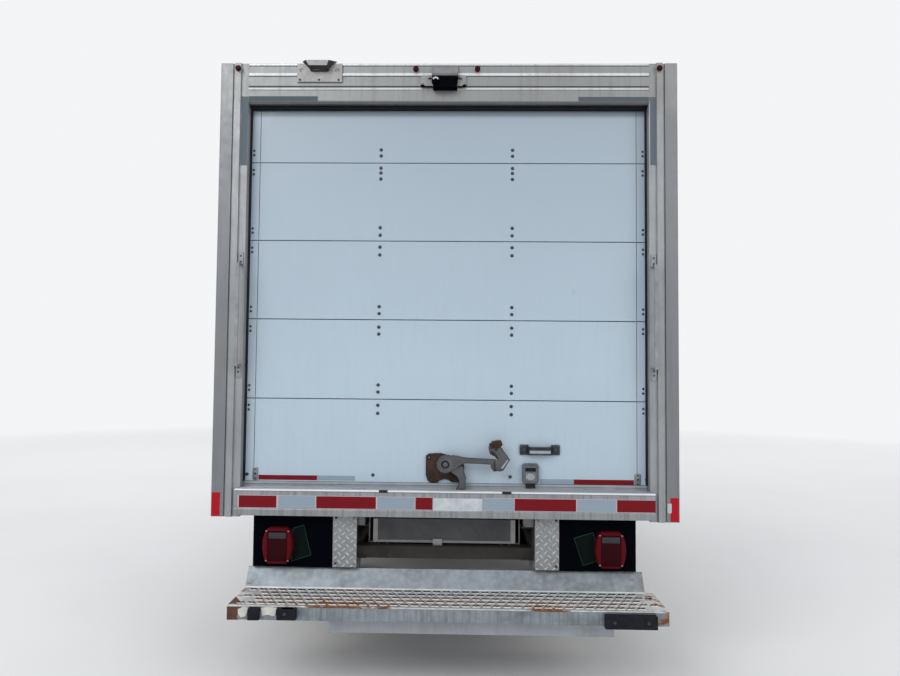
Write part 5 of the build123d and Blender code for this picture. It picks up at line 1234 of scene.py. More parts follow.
def sill_details():
    made = Build("black_gap", "tape_red", "label")
    for x0, x1 in ((-305, -264), (275, 319)):
        made.box(*mm(x0, x1), REAR - 0.0238, REAR - 0.0120, SILL - 0.0105, SILL + 0.0004)
    made.box(*mm(-438, -368), REAR + 0.012, REAR + 0.022, SILL + 0.0001, SILL + 0.0007, 1)
    flap = [(1.052, SILL - 0.048), (1.071, SILL - 0.048), (1.071, SILL - 0.090), (1.060, SILL - 0.096),
            (1.052, SILL - 0.088)]
    made.prism(flap, 1, REAR - 0.0014, REAR - 0.0002, 2)
    made.piece("sill_marks", slot="sill_steel", bevel=0.0002)
    ridges = Build("sill_steel")
    for y in (REAR + 0.006, REAR + 0.032, REAR + 0.052):
        profile = [(y - 0.003, SILL - 0.0002), (y - 0.0018, SILL + 0.0022), (y + 0.0018, SILL + 0.0022),
                   (y + 0.003, SILL - 0.0002)]
        ridges.prism(profile, 0, -0.972, 0.972)
    ridges.piece("sill_ridges", slot="sill_steel", smooth=60)
    eyes = Build("handle_steel", "black_gap", "bolt_dark")
    for x0, x1, z0, z1 in ((-0.930, -0.903, 0.029, 0.092), (0.912, 0.943, 0.024, 0.081)):
        outline = rounded(x0, x1, SILL + z0, SILL + z1, 0.008, 4)
        pad(eyes, outline, DOOR_Y, (-0.0002, 0.0026, 0.0034), 0.001)
        centre = ((x0 + x1) / 2, DOOR_Y - 0.003, SILL + (z0 + z1) / 2)
        eyes.lathe([(0.0, 0.0085), (0.0022, 0.0085), (0.003, 0.0072), (0.003, 0.0052), (0.0, 0.0052)],
                   centre, BACK, 20, 0, True)
        eyes.lathe([(0.0003, 0.0052), (0.0008, 0.0052)], centre, BACK, 20, 1)
        for dz in (-0.021, 0.021):
            eyes.dome((centre[0], centre[1], centre[2] + dz), BACK, 0.0042, 0.0025, 2)
    eyes.piece("corner_eyelets", slot="handle_steel")


sill_details()


# Seal under the header and along the posts, where the door runs behind them
def door_seals():
    made = Build("black_rubber")
    low, high = TOP - 0.2135, TOP - 0.1975
    made.prism([(REAR + 0.034, high), (REAR + 0.030, low + 0.006), (REAR + 0.040, low),
                (DOOR_Y - 0.0012, low - 0.001), (DOOR_Y - 0.0012, high)], 0, -0.9715, 0.9715)
    for side in (-1, 1):
        edge = side * 0.9728
        made.prism([(edge, DOOR_Y - 0.0165), (edge - side * 0.0050, DOOR_Y - 0.0130),
                    (edge - side * 0.0075, DOOR_Y - 0.0010), (edge, DOOR_Y - 0.0010)], 2, SILL + 0.0275,
                   low + 0.001)
    made.piece("door_seals", slot="black_rubber", smooth=50)


door_seals()


# Foot of the door: two bands of its bottom seal, parted by dark lines
def door_foot():
    made = Build("foot_grey", "foot_light", "black_gap")
    y = DOOR_Y - 0.004
    for z0, z1, proud, finish in ((0.0006, 0.0122, 0.0014, 0), (0.0122, 0.0138, 0.0006, 2),
                                  (0.0138, 0.0250, 0.0012, 1), (0.0250, 0.0268, 0.0004, 2)):
        made.box(-0.971, 0.971, y - proud, y + 0.0004, SILL + z0, SILL + z1, finish)
    made.piece("door_foot_seal", slot="door_panel", bevel=0.0003)


door_foot()


# Bracket plate: worn ring marks by its upper corners, painted shade on the scoop's sides and underside and on
# the plate below it
def bracket_details():
    marks = Build("olive_mark")
    face = REAR - 0.005
    for x, start, stretch in ((-0.7125, 0.4, 4.4), (-0.5385, -0.6, 4.8)):
        z = TOP - 0.0375
        points = []
        for step in range(13):
            angle = start + stretch * step / 12
            points.append((x + 0.0085 * math.cos(angle), face - 0.0002, z + 0.0072 * math.sin(angle)))
        marks.tube(points, 0.0016, 6, 0)
    marks.piece("bracket_marks", slot="bracket_aluminium", smooth=60)
    # Painted shade: the scoop's sides and underside coloured dark
    repaint("header_bracket", ["shade_and_grime"],
            lambda place, normal: place.y < face - 0.006 and normal.y > -0.8 and normal.z < 0.7)
    shade = Build("black_gap")
    back = [(-0.674, TOP - 0.0335), (-0.573, TOP - 0.0335), (-0.584, TOP - 0.0445), (-0.664, TOP - 0.0445)]
    shade.prism(back, 1, face - 0.0006, face + 0.0002, 0)
    shade.piece("bracket_shade", slot="bracket_aluminium")


bracket_details()


# Ramp: bright end rails, latch and hooks
def ramp_details():
    made = Build("bracket_aluminium")
    end, rail = REAR + 0.120, 0.3245
    low, high, face = 0.6055, 0.7205, end - 0.0016
    for side in (-1, 1):
        made.box(*either(side, rail, rail + 0.023), face, end + 0.002, low, high)
    made.box(-rail, rail, face, end + 0.0004, low, low + 0.012)
    made.piece("ramp_end_rails", slot="ramp_aluminium", bevel=0.0008)
    catch = Build("bolt_dark", "handle_steel")
    catch.box(-0.055, -0.008, end - 0.014, end + 0.001, 0.588, 0.628, 1)
    catch.box(-0.062, 0.0, end - 0.010, end + 0.012, 0.545, 0.592, 0)
    catch.lathe([(0.0, 0.012), (0.020, 0.012), (0.022, 0.009)], (-0.031, end - 0.004, 0.566), BACK, 16, 1)
    for x in (-0.300, 0.300):
        catch.box(x - 0.026, x - 0.016, end + 0.004, end + 0.040, 0.552, 0.606, 0)
        catch.box(x + 0.016, x + 0.026, end + 0.004, end + 0.040, 0.552, 0.606, 0)
        catch.tube([(x - 0.03, end + 0.018, 0.566), (x + 0.03, end + 0.018, 0.566)], 0.007, 10, 1)
    catch.piece("ramp_catches", slot="ramp_aluminium", bevel=0.0015)


ramp_details()


# Tyres: ribbed sidewalls and a blocked tread, one for each wheel
def tyre_mesh(made, x0, y0):
    half, bead, top, shoulder = 0.1125, 0.203, TYRE_R, 0.027
    # across from the middle, radius, groove depth taken off between blocks
    rows = [(-0.085, bead, 0), (-0.1015, bead + 0.006, 0), (-0.1105, bead + 0.024, 0),
            (-0.1098, bead + 0.030, 0), (-0.1122, bead + 0.036, 0), (-half, bead + 0.080, 0),
            (-0.1112, bead + 0.086, 0), (-0.1122, bead + 0.092, 0), (-half, top - shoulder - 0.014, 0),
            (-half, top - shoulder, 0.003), (-0.1010, top - 0.010, 0.007), (-0.0880, top - 0.0015, 0.008)]
    grooves = (-0.055, -0.019, 0.019, 0.055)
    for groove in grooves:
        rows += [(groove - 0.0065, top, 0.008), (groove - 0.0045, top - 0.009, 0),
                 (groove + 0.0045, top - 0.009, 0), (groove + 0.0065, top, 0.008)]
    rows += [(-x, r, cut) for x, r, cut in rows[11::-1]]
    pitches, marks = 62, (0.0, 0.70, 0.78, 0.92)
    steps = pitches * len(marks)
    verts = []
    for step in range(steps):
        pitch, mark = divmod(step, len(marks))
        for x, radius, cut in rows:
            lean = 0.28 * math.sin(x * 34.0) + (0.5 if x > 0 else 0.0)
            angle = 2 * math.pi * (pitch + marks[mark] + lean) / pitches
            depth = cut if mark in (2, 3) else 0.0
            verts.append((x0 + x, y0 + (radius - depth) * math.cos(angle), TYRE_R + (radius - depth)
                          * math.sin(angle)))
    made.add(verts, skin(steps, len(rows), True))


def wheels():
    places = (("front_left", -TRACK, FRONT_AXLE), ("front_right", TRACK, FRONT_AXLE),
              ("rear_left", -TRACK, REAR_AXLE), ("rear_right", TRACK, REAR_AXLE))
    bolts, bolt_circle = 8, 0.088
    for name, x, y in places:
        out = 1 if x > 0 else -1
        axis = (out, 0, 0)
        body = f"wheel_{name}"
        tyre = Build("tyre")
        tyre_mesh(tyre, x, y)
        piece = tyre.piece(f"tyre_{name}_tread", body, smooth=28)
        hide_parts(f"tyre_{name}")

        def spot(along, radius=0.0, angle=0.0):
            return (x + out * along, y + radius * math.cos(angle), TYRE_R + radius * math.sin(angle))

        parts = Build("screw", "bolt_dark", "rim_paint", "black_rubber", "cast_metal")
        drum = [(-0.034, 0.176), (0.002, 0.176), (0.006, 0.170), (0.006, 0.074), (-0.034, 0.074)]
        parts.lathe(drum, spot(0.0), axis, 48, 4, True)
        for turn in range(bolts):
            angle = 2 * math.pi * (turn + 0.5) / bolts
            parts.lathe([(0.0, 0.0185), (0.003, 0.0180), (0.004, 0.0125)], spot(0.042, bolt_circle, angle),
                        axis, 18, 4)
            nut = [(0, 0.0118), (0.014, 0.0118), (0.018, 0.0085), (0.020, 0.004)]
            parts.lathe(nut, spot(0.046, bolt_circle, angle), axis, 6, 0)
        cap = [(0.0, 0.056), (0.010, 0.055), (0.020, 0.049), (0.027, 0.036), (0.030, 0.014)]
        parts.lathe(cap, spot(0.069), axis, 40, 0)
        parts.lathe([(0.0, 0.0585), (0.004, 0.0585), (0.004, 0.055), (0.0, 0.055)], spot(0.069), axis, 40,
                    1, True)
        for turn in range(3):
            parts.dome(spot(0.0945, 0.024, 2 * math.pi * turn / 3), axis, 0.0045, 0.0035, 1)
        lip = [(-0.004, 0.2032), (0.0035, 0.2075), (0.0060, 0.2050), (0.0055, 0.1990), (-0.002, 0.1945)]
        parts.lathe(lip, spot(0.0845), axis, 72, 2, True)
        stem = [(x + out * along, y, TYRE_R + rise) for along, rise in ((0.070, 0.181), (0.088, 0.176),
                                                                        (0.104, 0.168))]
        parts.tube(stem, 0.0042, 10, 3)
        parts.lathe([(0, 0.0052), (0.012, 0.0052), (0.014, 0.003)], (x + out * 0.103, y, TYRE_R + 0.1685),
                    (out * 0.86, 0, -0.5), 10, 1)
        parts.lathe([(-0.006, 0.006), (0.0, 0.0085), (0.004, 0.006)], stem[0], axis, 12, 3)
        turns = (2.02, 2.1, 2.18, 2.26)
        weight = [spot(0.0, 0.1985, turn)[1:] for turn in turns] + [spot(0.0, 0.2065, turn)[1:]
                                                                    for turn in turns[::-1]]
        parts.prism(weight, 0, *sorted((x + out * 0.088, x + out * 0.093)), 1)
        parts.piece(f"wheel_{name}_fittings", body, "rim_paint", smooth=40)


wheels()


# Surfaces of the cab, in metres from the CAD's sizes
NOSE_FRONT = FRONT_AXLE + 0.822
NOSE_HALF = 0.640
NOSE_BOW = 0.053
SCREEN_RADIUS = 2.164


def side_x(z):
    """Half width of the cab's side at a height."""
    knots = ((0.47, 0.985), (0.64, CAB_HALF), (1.15, CAB_HALF), (1.29, 0.985), (1.96, 0.868), (2.04, 0.826))
    for (z0, x0), (z1, x1) in zip(knots, knots[1:]):
        if z <= z1:
            return x0 + (x1 - x0) * (z - z0) / (z1 - z0)
    return knots[-1][1]


def screen_y(x, z, front=0.0):
    """The windscreen's outer face, taken in by front."""
    sag = SCREEN_RADIUS - math.sqrt(SCREEN_RADIUS ** 2 - x * x)
    return FRONT_AXLE + 0.036 - front * 1.4 - (z - 1.29) * 0.62 / 0.72 - sag


def nose_y(x):
    """The nose's front face in plan."""
    x = abs(x)
    if x <= NOSE_HALF:
        middle = NOSE_BOW / 2 + NOSE_HALF ** 2 / (2 * NOSE_BOW)
        return NOSE_FRONT + 0.001 - (middle - math.sqrt(middle ** 2 - x * x))
    corner = ((NOSE_HALF, NOSE_FRONT - 0.052), (0.930, FRONT_AXLE + 0.660), (CAB_HALF, FRONT_AXLE + 0.430))
    (ax, ay), (bx, by), (cx, cy) = corner
    d = 2 * (ax * (by - cy) + bx * (cy - ay) + cx * (ay - by))
    a, b, c = [px ** 2 + py ** 2 for px, py in corner]
    ux = (a * (by - cy) + b * (cy - ay) + c * (ay - by)) / d
    uy = (a * (cx - bx) + b * (ax - cx) + c * (bx - ax)) / d
    radius = math.hypot(ax - ux, ay - uy)
    return uy + math.sqrt(max(radius ** 2 - (x - ux) ** 2, 0.0))


DOOR_WINDOW = [(-1.325, 1.300), (-0.555, 1.300), (-0.555, 1.4474), (-0.9582, 1.910), (-1.295, 1.910),
               (-1.325, 1.875)]
SCREEN = [(0.840, 1.345), (0.715, 1.925), (0.660, 1.952), (-0.660, 1.952), (-0.715, 1.925), (-0.840, 1.345)]


def cab_glazing():
    rubber = Build("black_rubber")
    outline = spread(SCREEN, 0.08)
    rubber.tube([(x, screen_y(x, z, 0.003), z) for x, z in outline], 0.011, 8, closed=True)
    rubber.piece("windscreen_rubber", slot="black_plastic", smooth=70)
    for side, body in DOORS:
        seal = Build("black_rubber", "black_plastic")
        ring = spread(DOOR_WINDOW, 0.08)
        seal.tube([(side * (side_x(z) - 0.004), FRONT_AXLE + y, z) for y, z in ring], 0.009, 8, closed=True)
        sill = [(side * (side_x(1.290) + 0.001), 1.283), (side * (side_x(1.290) + 0.010), 1.287),
                (side * (side_x(1.304) + 0.009), 1.302), (side * (side_x(1.306) - 0.012), 1.306),
                (side * 0.955, 1.290)]
        seal.prism(sill, 1, FRONT_AXLE - 1.335, FRONT_AXLE - 0.545, 1)
        seal.piece(f"window_seal_{body}", body, "black_plastic", smooth=50)


cab_glazing()


def wipers():
    made = Build("black_plastic", "black_rubber")
    for foot_x, tip_x, tip_z in ((-0.62, -0.04, 1.470), (0.10, 0.66, 1.480)):
        foot = Vector((foot_x, screen_y(foot_x, 1.318) + 0.012, 1.318))
        tip = Vector((tip_x, screen_y(tip_x, tip_z, 0.014) + 0.020, tip_z))
        middle = foot.lerp(tip, 0.55) + Vector((0, 0.020, 0.014))
        middle.y = max(middle.y, screen_y(middle.x, middle.z, 0.0) + 0.020)
        made.lathe([(0, 0.019), (0.022, 0.018), (0.030, 0.012)], foot - Vector((0, 0.004, 0.004)),
                   (0, 0.65, 0.76), 20, 0)
        made.tube([foot + Vector((0, 0.008, 0.010)), foot.lerp(middle, 0.5) + Vector((0, 0.012, 0.008)),
                   middle, tip], 0.0065, 8, 0)
        ends = []
        for share in (-0.5, 0.5):
            end = tip + Vector((share * 0.50, 0, share * 0.05))
            end.y = screen_y(end.x, end.z, 0.014) + 0.0075
            ends.append(end)
        count = 8
        blade, frame_bar = [], []
        for step in range(count + 1):
            point = ends[0].lerp(ends[1], step / count)
            point.y = screen_y(point.x, point.z, 0.014)
            blade.append(point + Vector((0, 0.0050, 0.0040)))
            frame_bar.append(point + Vector((0, 0.0120, 0.0100)))
        made.tube(blade, 0.0042, 6, 1)
        made.tube(frame_bar[1:-1], 0.0048, 8, 0)
        made.tube([tip, frame_bar[count // 2]], 0.008, 8, 0)
    made.piece("wipers", slot="black_plastic", smooth=60)


wipers()


MIRROR_Y = FRONT_AXLE - 0.585


def door_handle(side, body):
    made = Build("black_plastic", "black_gap", "bolt_dark")
    x = side * CAB_HALF
    y = FRONT_AXLE - 1.285
    cup = rounded(y - 0.090, y + 0.090, 1.060, 1.118, 0.014, 5)
    rings = ((0.004, cup), (0.006, scaled(cup, -0.004, -0.004)), (0.003, scaled(cup, -0.010, -0.009)),
             (-0.001, cup))
    verts = [(x + side * depth, py, pz) for depth, ring in rings for py, pz in ring]
    count = len(cup)
    faces = band(3, 0, count) + band(0, 1, count) + band(1, 2, count)
    made.add(verts, faces + [list(range(2 * count, 3 * count))])
    grip = [(0.006, -0.070), (0.024, -0.060), (0.026, 0.0), (0.024, 0.060), (0.006, 0.070),
            (0.004, 0.055), (0.016, 0.045), (0.017, 0.0), (0.016, -0.045), (0.004, -0.055)]
    plan = [(x + side * out, y + along) for out, along in grip]
    made.prism(plan, 2, 1.078, 1.101, 0)
    lock = (x + side * 0.004, y + 0.128, 1.089)
    made.lathe([(0, 0.0135), (0.003, 0.0128), (0.004, 0.010)], lock, (side, 0, 0), 24, 2)
    keyhole = lock[0] + side * 0.0035
    made.box(keyhole - 0.0004, keyhole + 0.0012, lock[1] - 0.0012, lock[1] + 0.0012, lock[2] - 0.006,
             lock[2] + 0.006, 1)
    trim = [(0.0, 0.795), (0.007, 0.799), (0.009, 0.818), (0.007, 0.837), (0.0, 0.841)]
    made.prism([(x + side * out, z) for out, z in trim], 1, FRONT_AXLE - 1.396, FRONT_AXLE - 0.503, 0)
    made.piece(f"door_handle_{body}", body, "black_plastic", bevel=0.0015, smooth=45)


def mirror_glass(side, body):
    glass = Build("mirror_glass")
    back = MIRROR_Y - 0.050
    for z0, z1, corner in ((1.150, 1.245, 0.022), (1.258, 1.510, 0.026)):
        outline = rounded(*either(side, 1.106, 1.254), z0, z1, corner, 5)
        pad(glass, outline, back, (-0.001, 0.0015, 0.0022), 0.003)
    glass.piece(f"mirror_glass_{body}", body, "black_plastic")


def mirror_foot(side, body):
    pads = Build("black_plastic", "bolt_dark")
    plate = rounded(MIRROR_Y - 0.052, MIRROR_Y + 0.052, 1.028, 1.152, 0.016, 4)
    rings = ((0.0, plate), (0.006, plate), (0.009, scaled(plate, -0.004, -0.004)))
    verts = [(side * (CAB_HALF + 0.0005 + depth), py, pz) for depth, ring in rings for py, pz in ring]
    count = len(plate)
    faces = band(0, 1, count) + band(1, 2, count) + [list(range(2 * count, 3 * count))]
    pads.add(verts, faces, 0)
    for dz in (1.046, 1.134):
        for dy in (-0.036, 0.036):
            pads.dome((side * 1.014, MIRROR_Y + dy, dz), (side, 0, 0), 0.006, 0.004, 1)
    pads.piece(f"mirror_foot_{body}", body, "black_plastic", smooth=45)


for side, body in DOORS:
    door_handle(side, body)
    mirror_glass(side, body)
    mirror_foot(side, body)


# Nose: lamp units behind clear covers, grille surround and fins, arch lips
def face_y(x, z):
    """The nose's outer face between the bumper's top and the hood's edge."""
    return min(nose_y(x), NOSE_FRONT - 0.012 * (z - 0.64) / 0.29)


def grid_shell(made, x0, x1, z0, z1, columns, rows, front, back, finish=0):
    """A closed sheet between two faces given as y for x and z."""
    verts = []
    for face in (front, back):
        for row in range(rows + 1):
            for column in range(columns + 1):
                x = x0 + (x1 - x0) * column / columns
                z = z0 + (z1 - z0) * row / rows
                verts.append((x, face(x, z), z))
    wide = columns + 1
    other = wide * (rows + 1)
    faces = []
    for row in range(rows):
        for column in range(columns):
            a = row * wide + column
            faces.append([a, a + 1, a + wide + 1, a + wide])
            faces.append([other + a + wide, other + a + wide + 1, other + a + 1, other + a])
    rim = list(range(columns)) + [columns + wide * row for row in range(rows)]
    rim += [wide * rows + columns - step for step in range(columns)] + [wide * (rows - step)
                                                                        for step in range(rows)]
    for index, a in enumerate(rim):
        b = rim[(index + 1) % len(rim)]
        faces.append([a, other + a, other + b, b])
    made.add(verts, faces, finish)


LAMP_BOX = (0.5765, 0.9035, 0.7365, 0.9335)
BOWL_X, BOWL_Z = 0.705, 0.835


def bowl_y(x, z):
    """Reflector's face: a hollow about the bulb, flat between it and the cover."""
    away = ((abs(x) - BOWL_X) / 0.122) ** 2 + ((z - BOWL_Z) / 0.098) ** 2
    return nose_y(x) - 0.0075 - 0.0205 * max(0.0, 1.0 - away) ** 0.8


def headlamp_units():
    made = Build("reflector", "cover", "amber", "black_plastic", "lamp_clear")
    x0, x1, z0, z1 = LAMP_BOX
    split = 0.835

    def behind(depth):
        """A face at a depth behind the nose's own."""
        return lambda x, z: nose_y(x) - depth

    grid_shell(made, x0, x1, z0, z1, 22, 6, behind(0.0006), behind(0.0032), 1)
    grid_shell(made, x0 + 0.002, split - 0.002, z0 + 0.002, z1 - 0.002, 40, 28, bowl_y, behind(0.0312), 0)
    grid_shell(made, split, x1 - 0.002, z0 + 0.002, z1 - 0.002, 24, 4,
               lambda x, z: nose_y(x) - 0.0065 - 0.0016 * (round((x - split) / 0.0027) % 2), behind(0.0312),
               2)
    for low, high in ((z0 - 0.0008, z0 + 0.0035), (z1 - 0.0035, z1 + 0.0008)):
        grid_shell(made, x0, x1, low, high, 22, 1, behind(0.0003), behind(0.0314), 3)
    for index, finish in enumerate(made.which):
        if finish == 0:
            corners = [made.verts[i] for i in made.faces[index]]
            x, z = (sum(corner[axis] for corner in corners) / len(corners) for axis in (0, 2))
            if ((x - BOWL_X) / 0.118) ** 2 + ((z - BOWL_Z) / 0.0945) ** 2 > 1.0:
                made.which[index] = 3
    for lift in (0.0, 0.012):
        ring = [(BOWL_X + (0.121 - lift) * math.cos(a / 8 * math.pi), BOWL_Z + (0.0965 - lift)
                 * math.sin(a / 8 * math.pi)) for a in range(16)]
        made.tube([(x, bowl_y(x, z) + 0.001, z) for x, z in spread(ring, 0.012)], 0.0022, 6, 0, True)
    made.lathe([(-0.001, 0.031), (0.004, 0.030), (0.0055, 0.0235), (0.001, 0.0225)],
               (BOWL_X, nose_y(BOWL_X) - 0.0268, BOWL_Z), (0, 1, 0), 24, 3, True)
    bulb = (BOWL_X, nose_y(BOWL_X) - 0.0270, BOWL_Z)
    made.lathe([(0.0, 0.014), (0.006, 0.014), (0.0065, 0.010), (0.0140, 0.0085), (0.0190, 0.005),
                (0.0205, 0.001)], bulb, (0, 1, 0), 20, 4)
    made.mirrored()
    unit = made.piece("headlamp_units", slot="lamp_clear", smooth=40)
    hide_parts("headlamps")


def grille_details():
    repaint("grille_panel", ["cab_paint"],
            lambda place, _: abs(place.x) > 0.5415 or place.z > 0.9475 or place.z < 0.7175)
    fins = Build("black_plastic", "bumper_steel")
    count, half = 44, 0.540
    for index in range(1, count):
        x = -half + 2 * half * index / count
        y = face_y(x, 0.83)
        fins.box(x - 0.0012, x + 0.0012, y - 0.0175, y - 0.0065, 0.7195, 0.9455)
    outline = spread([(-0.546, 0.7135), (0.546, 0.7135), (0.546, 0.9515), (-0.546, 0.9515)], 0.045)
    fins.tube([(x, face_y(x, z) + 0.0005, z) for x, z in outline], 0.0085, 10, 1, True)
    for x0, x1 in ((LAMP_BOX[0] - 0.006, LAMP_BOX[1] + 0.006), (-LAMP_BOX[1] - 0.006, -LAMP_BOX[0] + 0.006)):
        ring = spread([(x0, 0.7295), (x1, 0.7295), (x1, 0.9405), (x0, 0.9405)], 0.03)
        fins.tube([(x, nose_y(x) + 0.0002, z) for x, z in ring], 0.0052, 8, 1, True)
    fins.piece("grille_fins", slot="black_plastic", smooth=60)


def nose_details():
    lips = Build("cab_paint")
    radius, low, high, steps = 0.4365, 13.5, 166.5, 36
    turns = [math.radians(low + (high - low) * step / steps) for step in range(steps + 1)]
    for side in (-1, 1):
        lips.tube([(side * 1.0035, FRONT_AXLE + radius * math.cos(turn), TYRE_R + radius * math.sin(turn))
                   for turn in turns], 0.0088, 10, 0)
    lips.piece("arch_lips", slot="cab_paint", smooth=70)
    nozzles = Build("black_plastic")
    for x in (-0.33, 0.33):
        y = FRONT_AXLE + 0.155
        z = 1.262 - 0.142 * (y - FRONT_AXLE - 0.062) / 0.578
        nozzles.lathe([(-0.002, 0.0115), (0.005, 0.0110), (0.009, 0.0070)], (x, y, z), (0, 0.24, 0.97), 16, 0)
    nozzles.piece("washer_nozzles", body="hood", slot="black_plastic", smooth=50)
    parts = Build("bumper_steel")
    bolt = [(-0.004, 0.0150), (0.0045, 0.0150), (0.0090, 0.0125), (0.0115, 0.0060)]
    for x in (-0.392, 0.392):
        for z in (0.478, 0.592):
            parts.lathe(bolt, (x, FRONT_AXLE + 0.8625 - 0.0215, z), (0, 1, 0), 20, 0)
    parts.piece("nose_fittings", slot="bumper_steel", smooth=50)


headlamp_units()
grille_details()
nose_details()


# Marker lamps: amber lenses at the front, red ones at the back
repaint("marker_lamps", ["amber"], lambda place, _: place.y > 0)


# Van body: riveted sheets, rail and roof rivets, side tapes and marker bases
BODY_FRONT = 0.780
WALL_REAR = -2.870
RAIL_FOOT, RAIL_HEAD = 0.7465, 2.8985
POST_PITCH = 0.4040
RIVET_PITCH = 0.0985


def body_details():
    rivets, seams = Build("body_panel"), Build("body_panel")

    def rivet(place, axis, height=0.0026):
        rivets.dome(place, axis, 0.0058, height, 0, 7)

    sheet_x = HALF_BODY - 0.006
    for side in (-1, 1):
        for index in range(9):
            y = WALL_REAR + 0.050 + POST_PITCH * index
            seamed = index in (3, 6)
            if seamed:
                seams.box(*either(side, sheet_x - 0.001, sheet_x + 0.0016), y - 0.022, y + 0.022, 0.9025,
                          2.8265)
            lift = 0.0016 if seamed else 0.0
            for step in range(20):
                rivet((side * (sheet_x + lift), y, 0.925 + RIVET_PITCH * step), (side, 0, 0))
        for step in range(36):
            y = WALL_REAR + 0.045 + RIVET_PITCH * step
            if y < BODY_FRONT - 0.115:
                rivet((side * HALF_BODY, y, 0.8745), (side, 0, 0))
                rivet((side * HALF_BODY, y, 2.8620), (side, 0, 0))
                rivet((side * (HALF_BODY - 0.030), y, TOP), (0, 0, 1), 0.0024)
        seams.box(*either(side, HALF_BODY - 0.0005, HALF_BODY + 0.0012), BODY_FRONT - 0.1300,
                  BODY_FRONT - 0.1080, RAIL_FOOT, RAIL_HEAD)
        seams.box(*either(side, 0.985, 1.004), BODY_FRONT - 0.0005, BODY_FRONT + 0.0012, RAIL_FOOT, RAIL_HEAD)
        for step in range(22):
            rivet((side * 0.9945, BODY_FRONT + 0.0010, 0.800 + RIVET_PITCH * step), (0, 1, 0))
    for index in range(1, 4):
        y = WALL_REAR + 0.050 + 1.212 * index - 0.606
        seams.box(-1.060, 1.060, y - 0.024, y + 0.024, TOP - 0.0005, TOP + 0.0014)
    for step in range(20):
        rivet((-0.936 + RIVET_PITCH * step, BODY_FRONT, 2.8720), (0, 1, 0))
    rivets.piece("body_rivets", slot="body_panel")
    seams.piece("body_seams", slot="body_panel", bevel=0.0004)
    tapes = Build("tape_red", "tape_white", "black_plastic")
    for side in (-1, 1):
        for start in (-2.700, -1.880, -1.060, -0.240):
            for y0, y1, finish in ((start, start + 0.279, 0), (start + 0.279, start + 0.457, 1)):
                tapes.box(*either(side, HALF_BODY - 0.0002, HALF_BODY + 0.0007), y0, y1, 0.7580, 0.8080,
                          finish)
        for y in (-2.775, 0.555):
            tapes.box(*either(side, HALF_BODY - 0.0002, HALF_BODY + 0.0022), y - 0.0385, y + 0.0385, 0.8145,
                      0.8475, 2)
        x = side * 0.902
        tapes.box(x - 0.0495, x + 0.0495, BODY_FRONT - 0.0002, BODY_FRONT + 0.0022, 2.8375, 2.8705, 2)
    tapes.piece("side_tapes", slot="body_panel", bevel=0.0003)


body_details()


# Seats: stuffed cloth over each cushion, back and headrest, on a plain plinth
SEAT_Y = FRONT_AXLE - 1.439
SEAT_X = 0.480
SEAT_PARTS = (
    # name, half width, outline back from the seat's rear edge and up, widest swell
    ("cushion", 0.226, [(0.150, 0.868), (0.590, 0.868), (0.618, 0.930), (0.606, 1.012), (0.270, 0.986),
                        (0.150, 0.968)],
     0.014),
    ("back", 0.222, [(0.108, 0.962), (0.232, 1.004), (0.106, 1.484), (0.020, 1.484)], 0.013),
    ("headrest", 0.128, [(0.016, 1.520), (0.100, 1.520), (0.102, 1.672), (0.036, 1.680)], 0.010),
)


def stuffed(outline, half):
    """A closed form with even faces and soft corners."""
    made = Build("seat_cloth")
    made.prism([(SEAT_Y + y, z) for y, z in outline], 0, -half, half)
    thing = linked("stuffing", made.mesh("stuffing"))
    remesh = thing.modifiers.new("even", "REMESH")
    remesh.mode = "VOXEL"
    remesh.voxel_size = 0.009
    settle = thing.modifiers.new("soft", "SMOOTH")
    settle.factor = 0.6
    settle.iterations = 9
    graph = bpy.context.evaluated_depsgraph_get()
    even = bpy.data.meshes.new_from_object(thing.evaluated_get(graph))
    thing.modifiers.clear()
    thing.data = even
    return thing


def swell(things, caps):
    """Blows the covers up against their own stiffness, each point moving no further than its cap."""
    scene = bpy.context.scene
    before = []
    for thing in things:
        before.append([v.co.copy() for v in thing.data.vertices])
        cloth = thing.modifiers.new("cover", "CLOTH")
        cloth.settings.quality = 5
        cloth.settings.mass = 0.3
        cloth.settings.tension_stiffness = 12
        cloth.settings.compression_stiffness = 12
        cloth.settings.bending_stiffness = 0.4
        cloth.settings.use_pressure = True
        cloth.settings.uniform_pressure_force = 4.0
        cloth.settings.effector_weights.gravity = 0.0
        cloth.point_cache.frame_start = 1
        cloth.point_cache.frame_end = 20
    for step in range(1, 21):
        scene.frame_set(step)
    graph = bpy.context.evaluated_depsgraph_get()
    for thing, places, cap in zip(things, before, caps):
        done = thing.evaluated_get(graph).data
        moved = [v.co.copy() for v in done.vertices]
        thing.modifiers.clear()
        for vertex, place, target in zip(thing.data.vertices, places, moved):
            move = target - place
            if move.length > cap:
                move *= cap / move.length
            vertex.co = place + move
    scene.frame_set(1)


def seam_dip(away, depth, width):
    """Depth of a sewn line at a distance from its middle."""
    return depth * math.exp(-(away / width) ** 2)


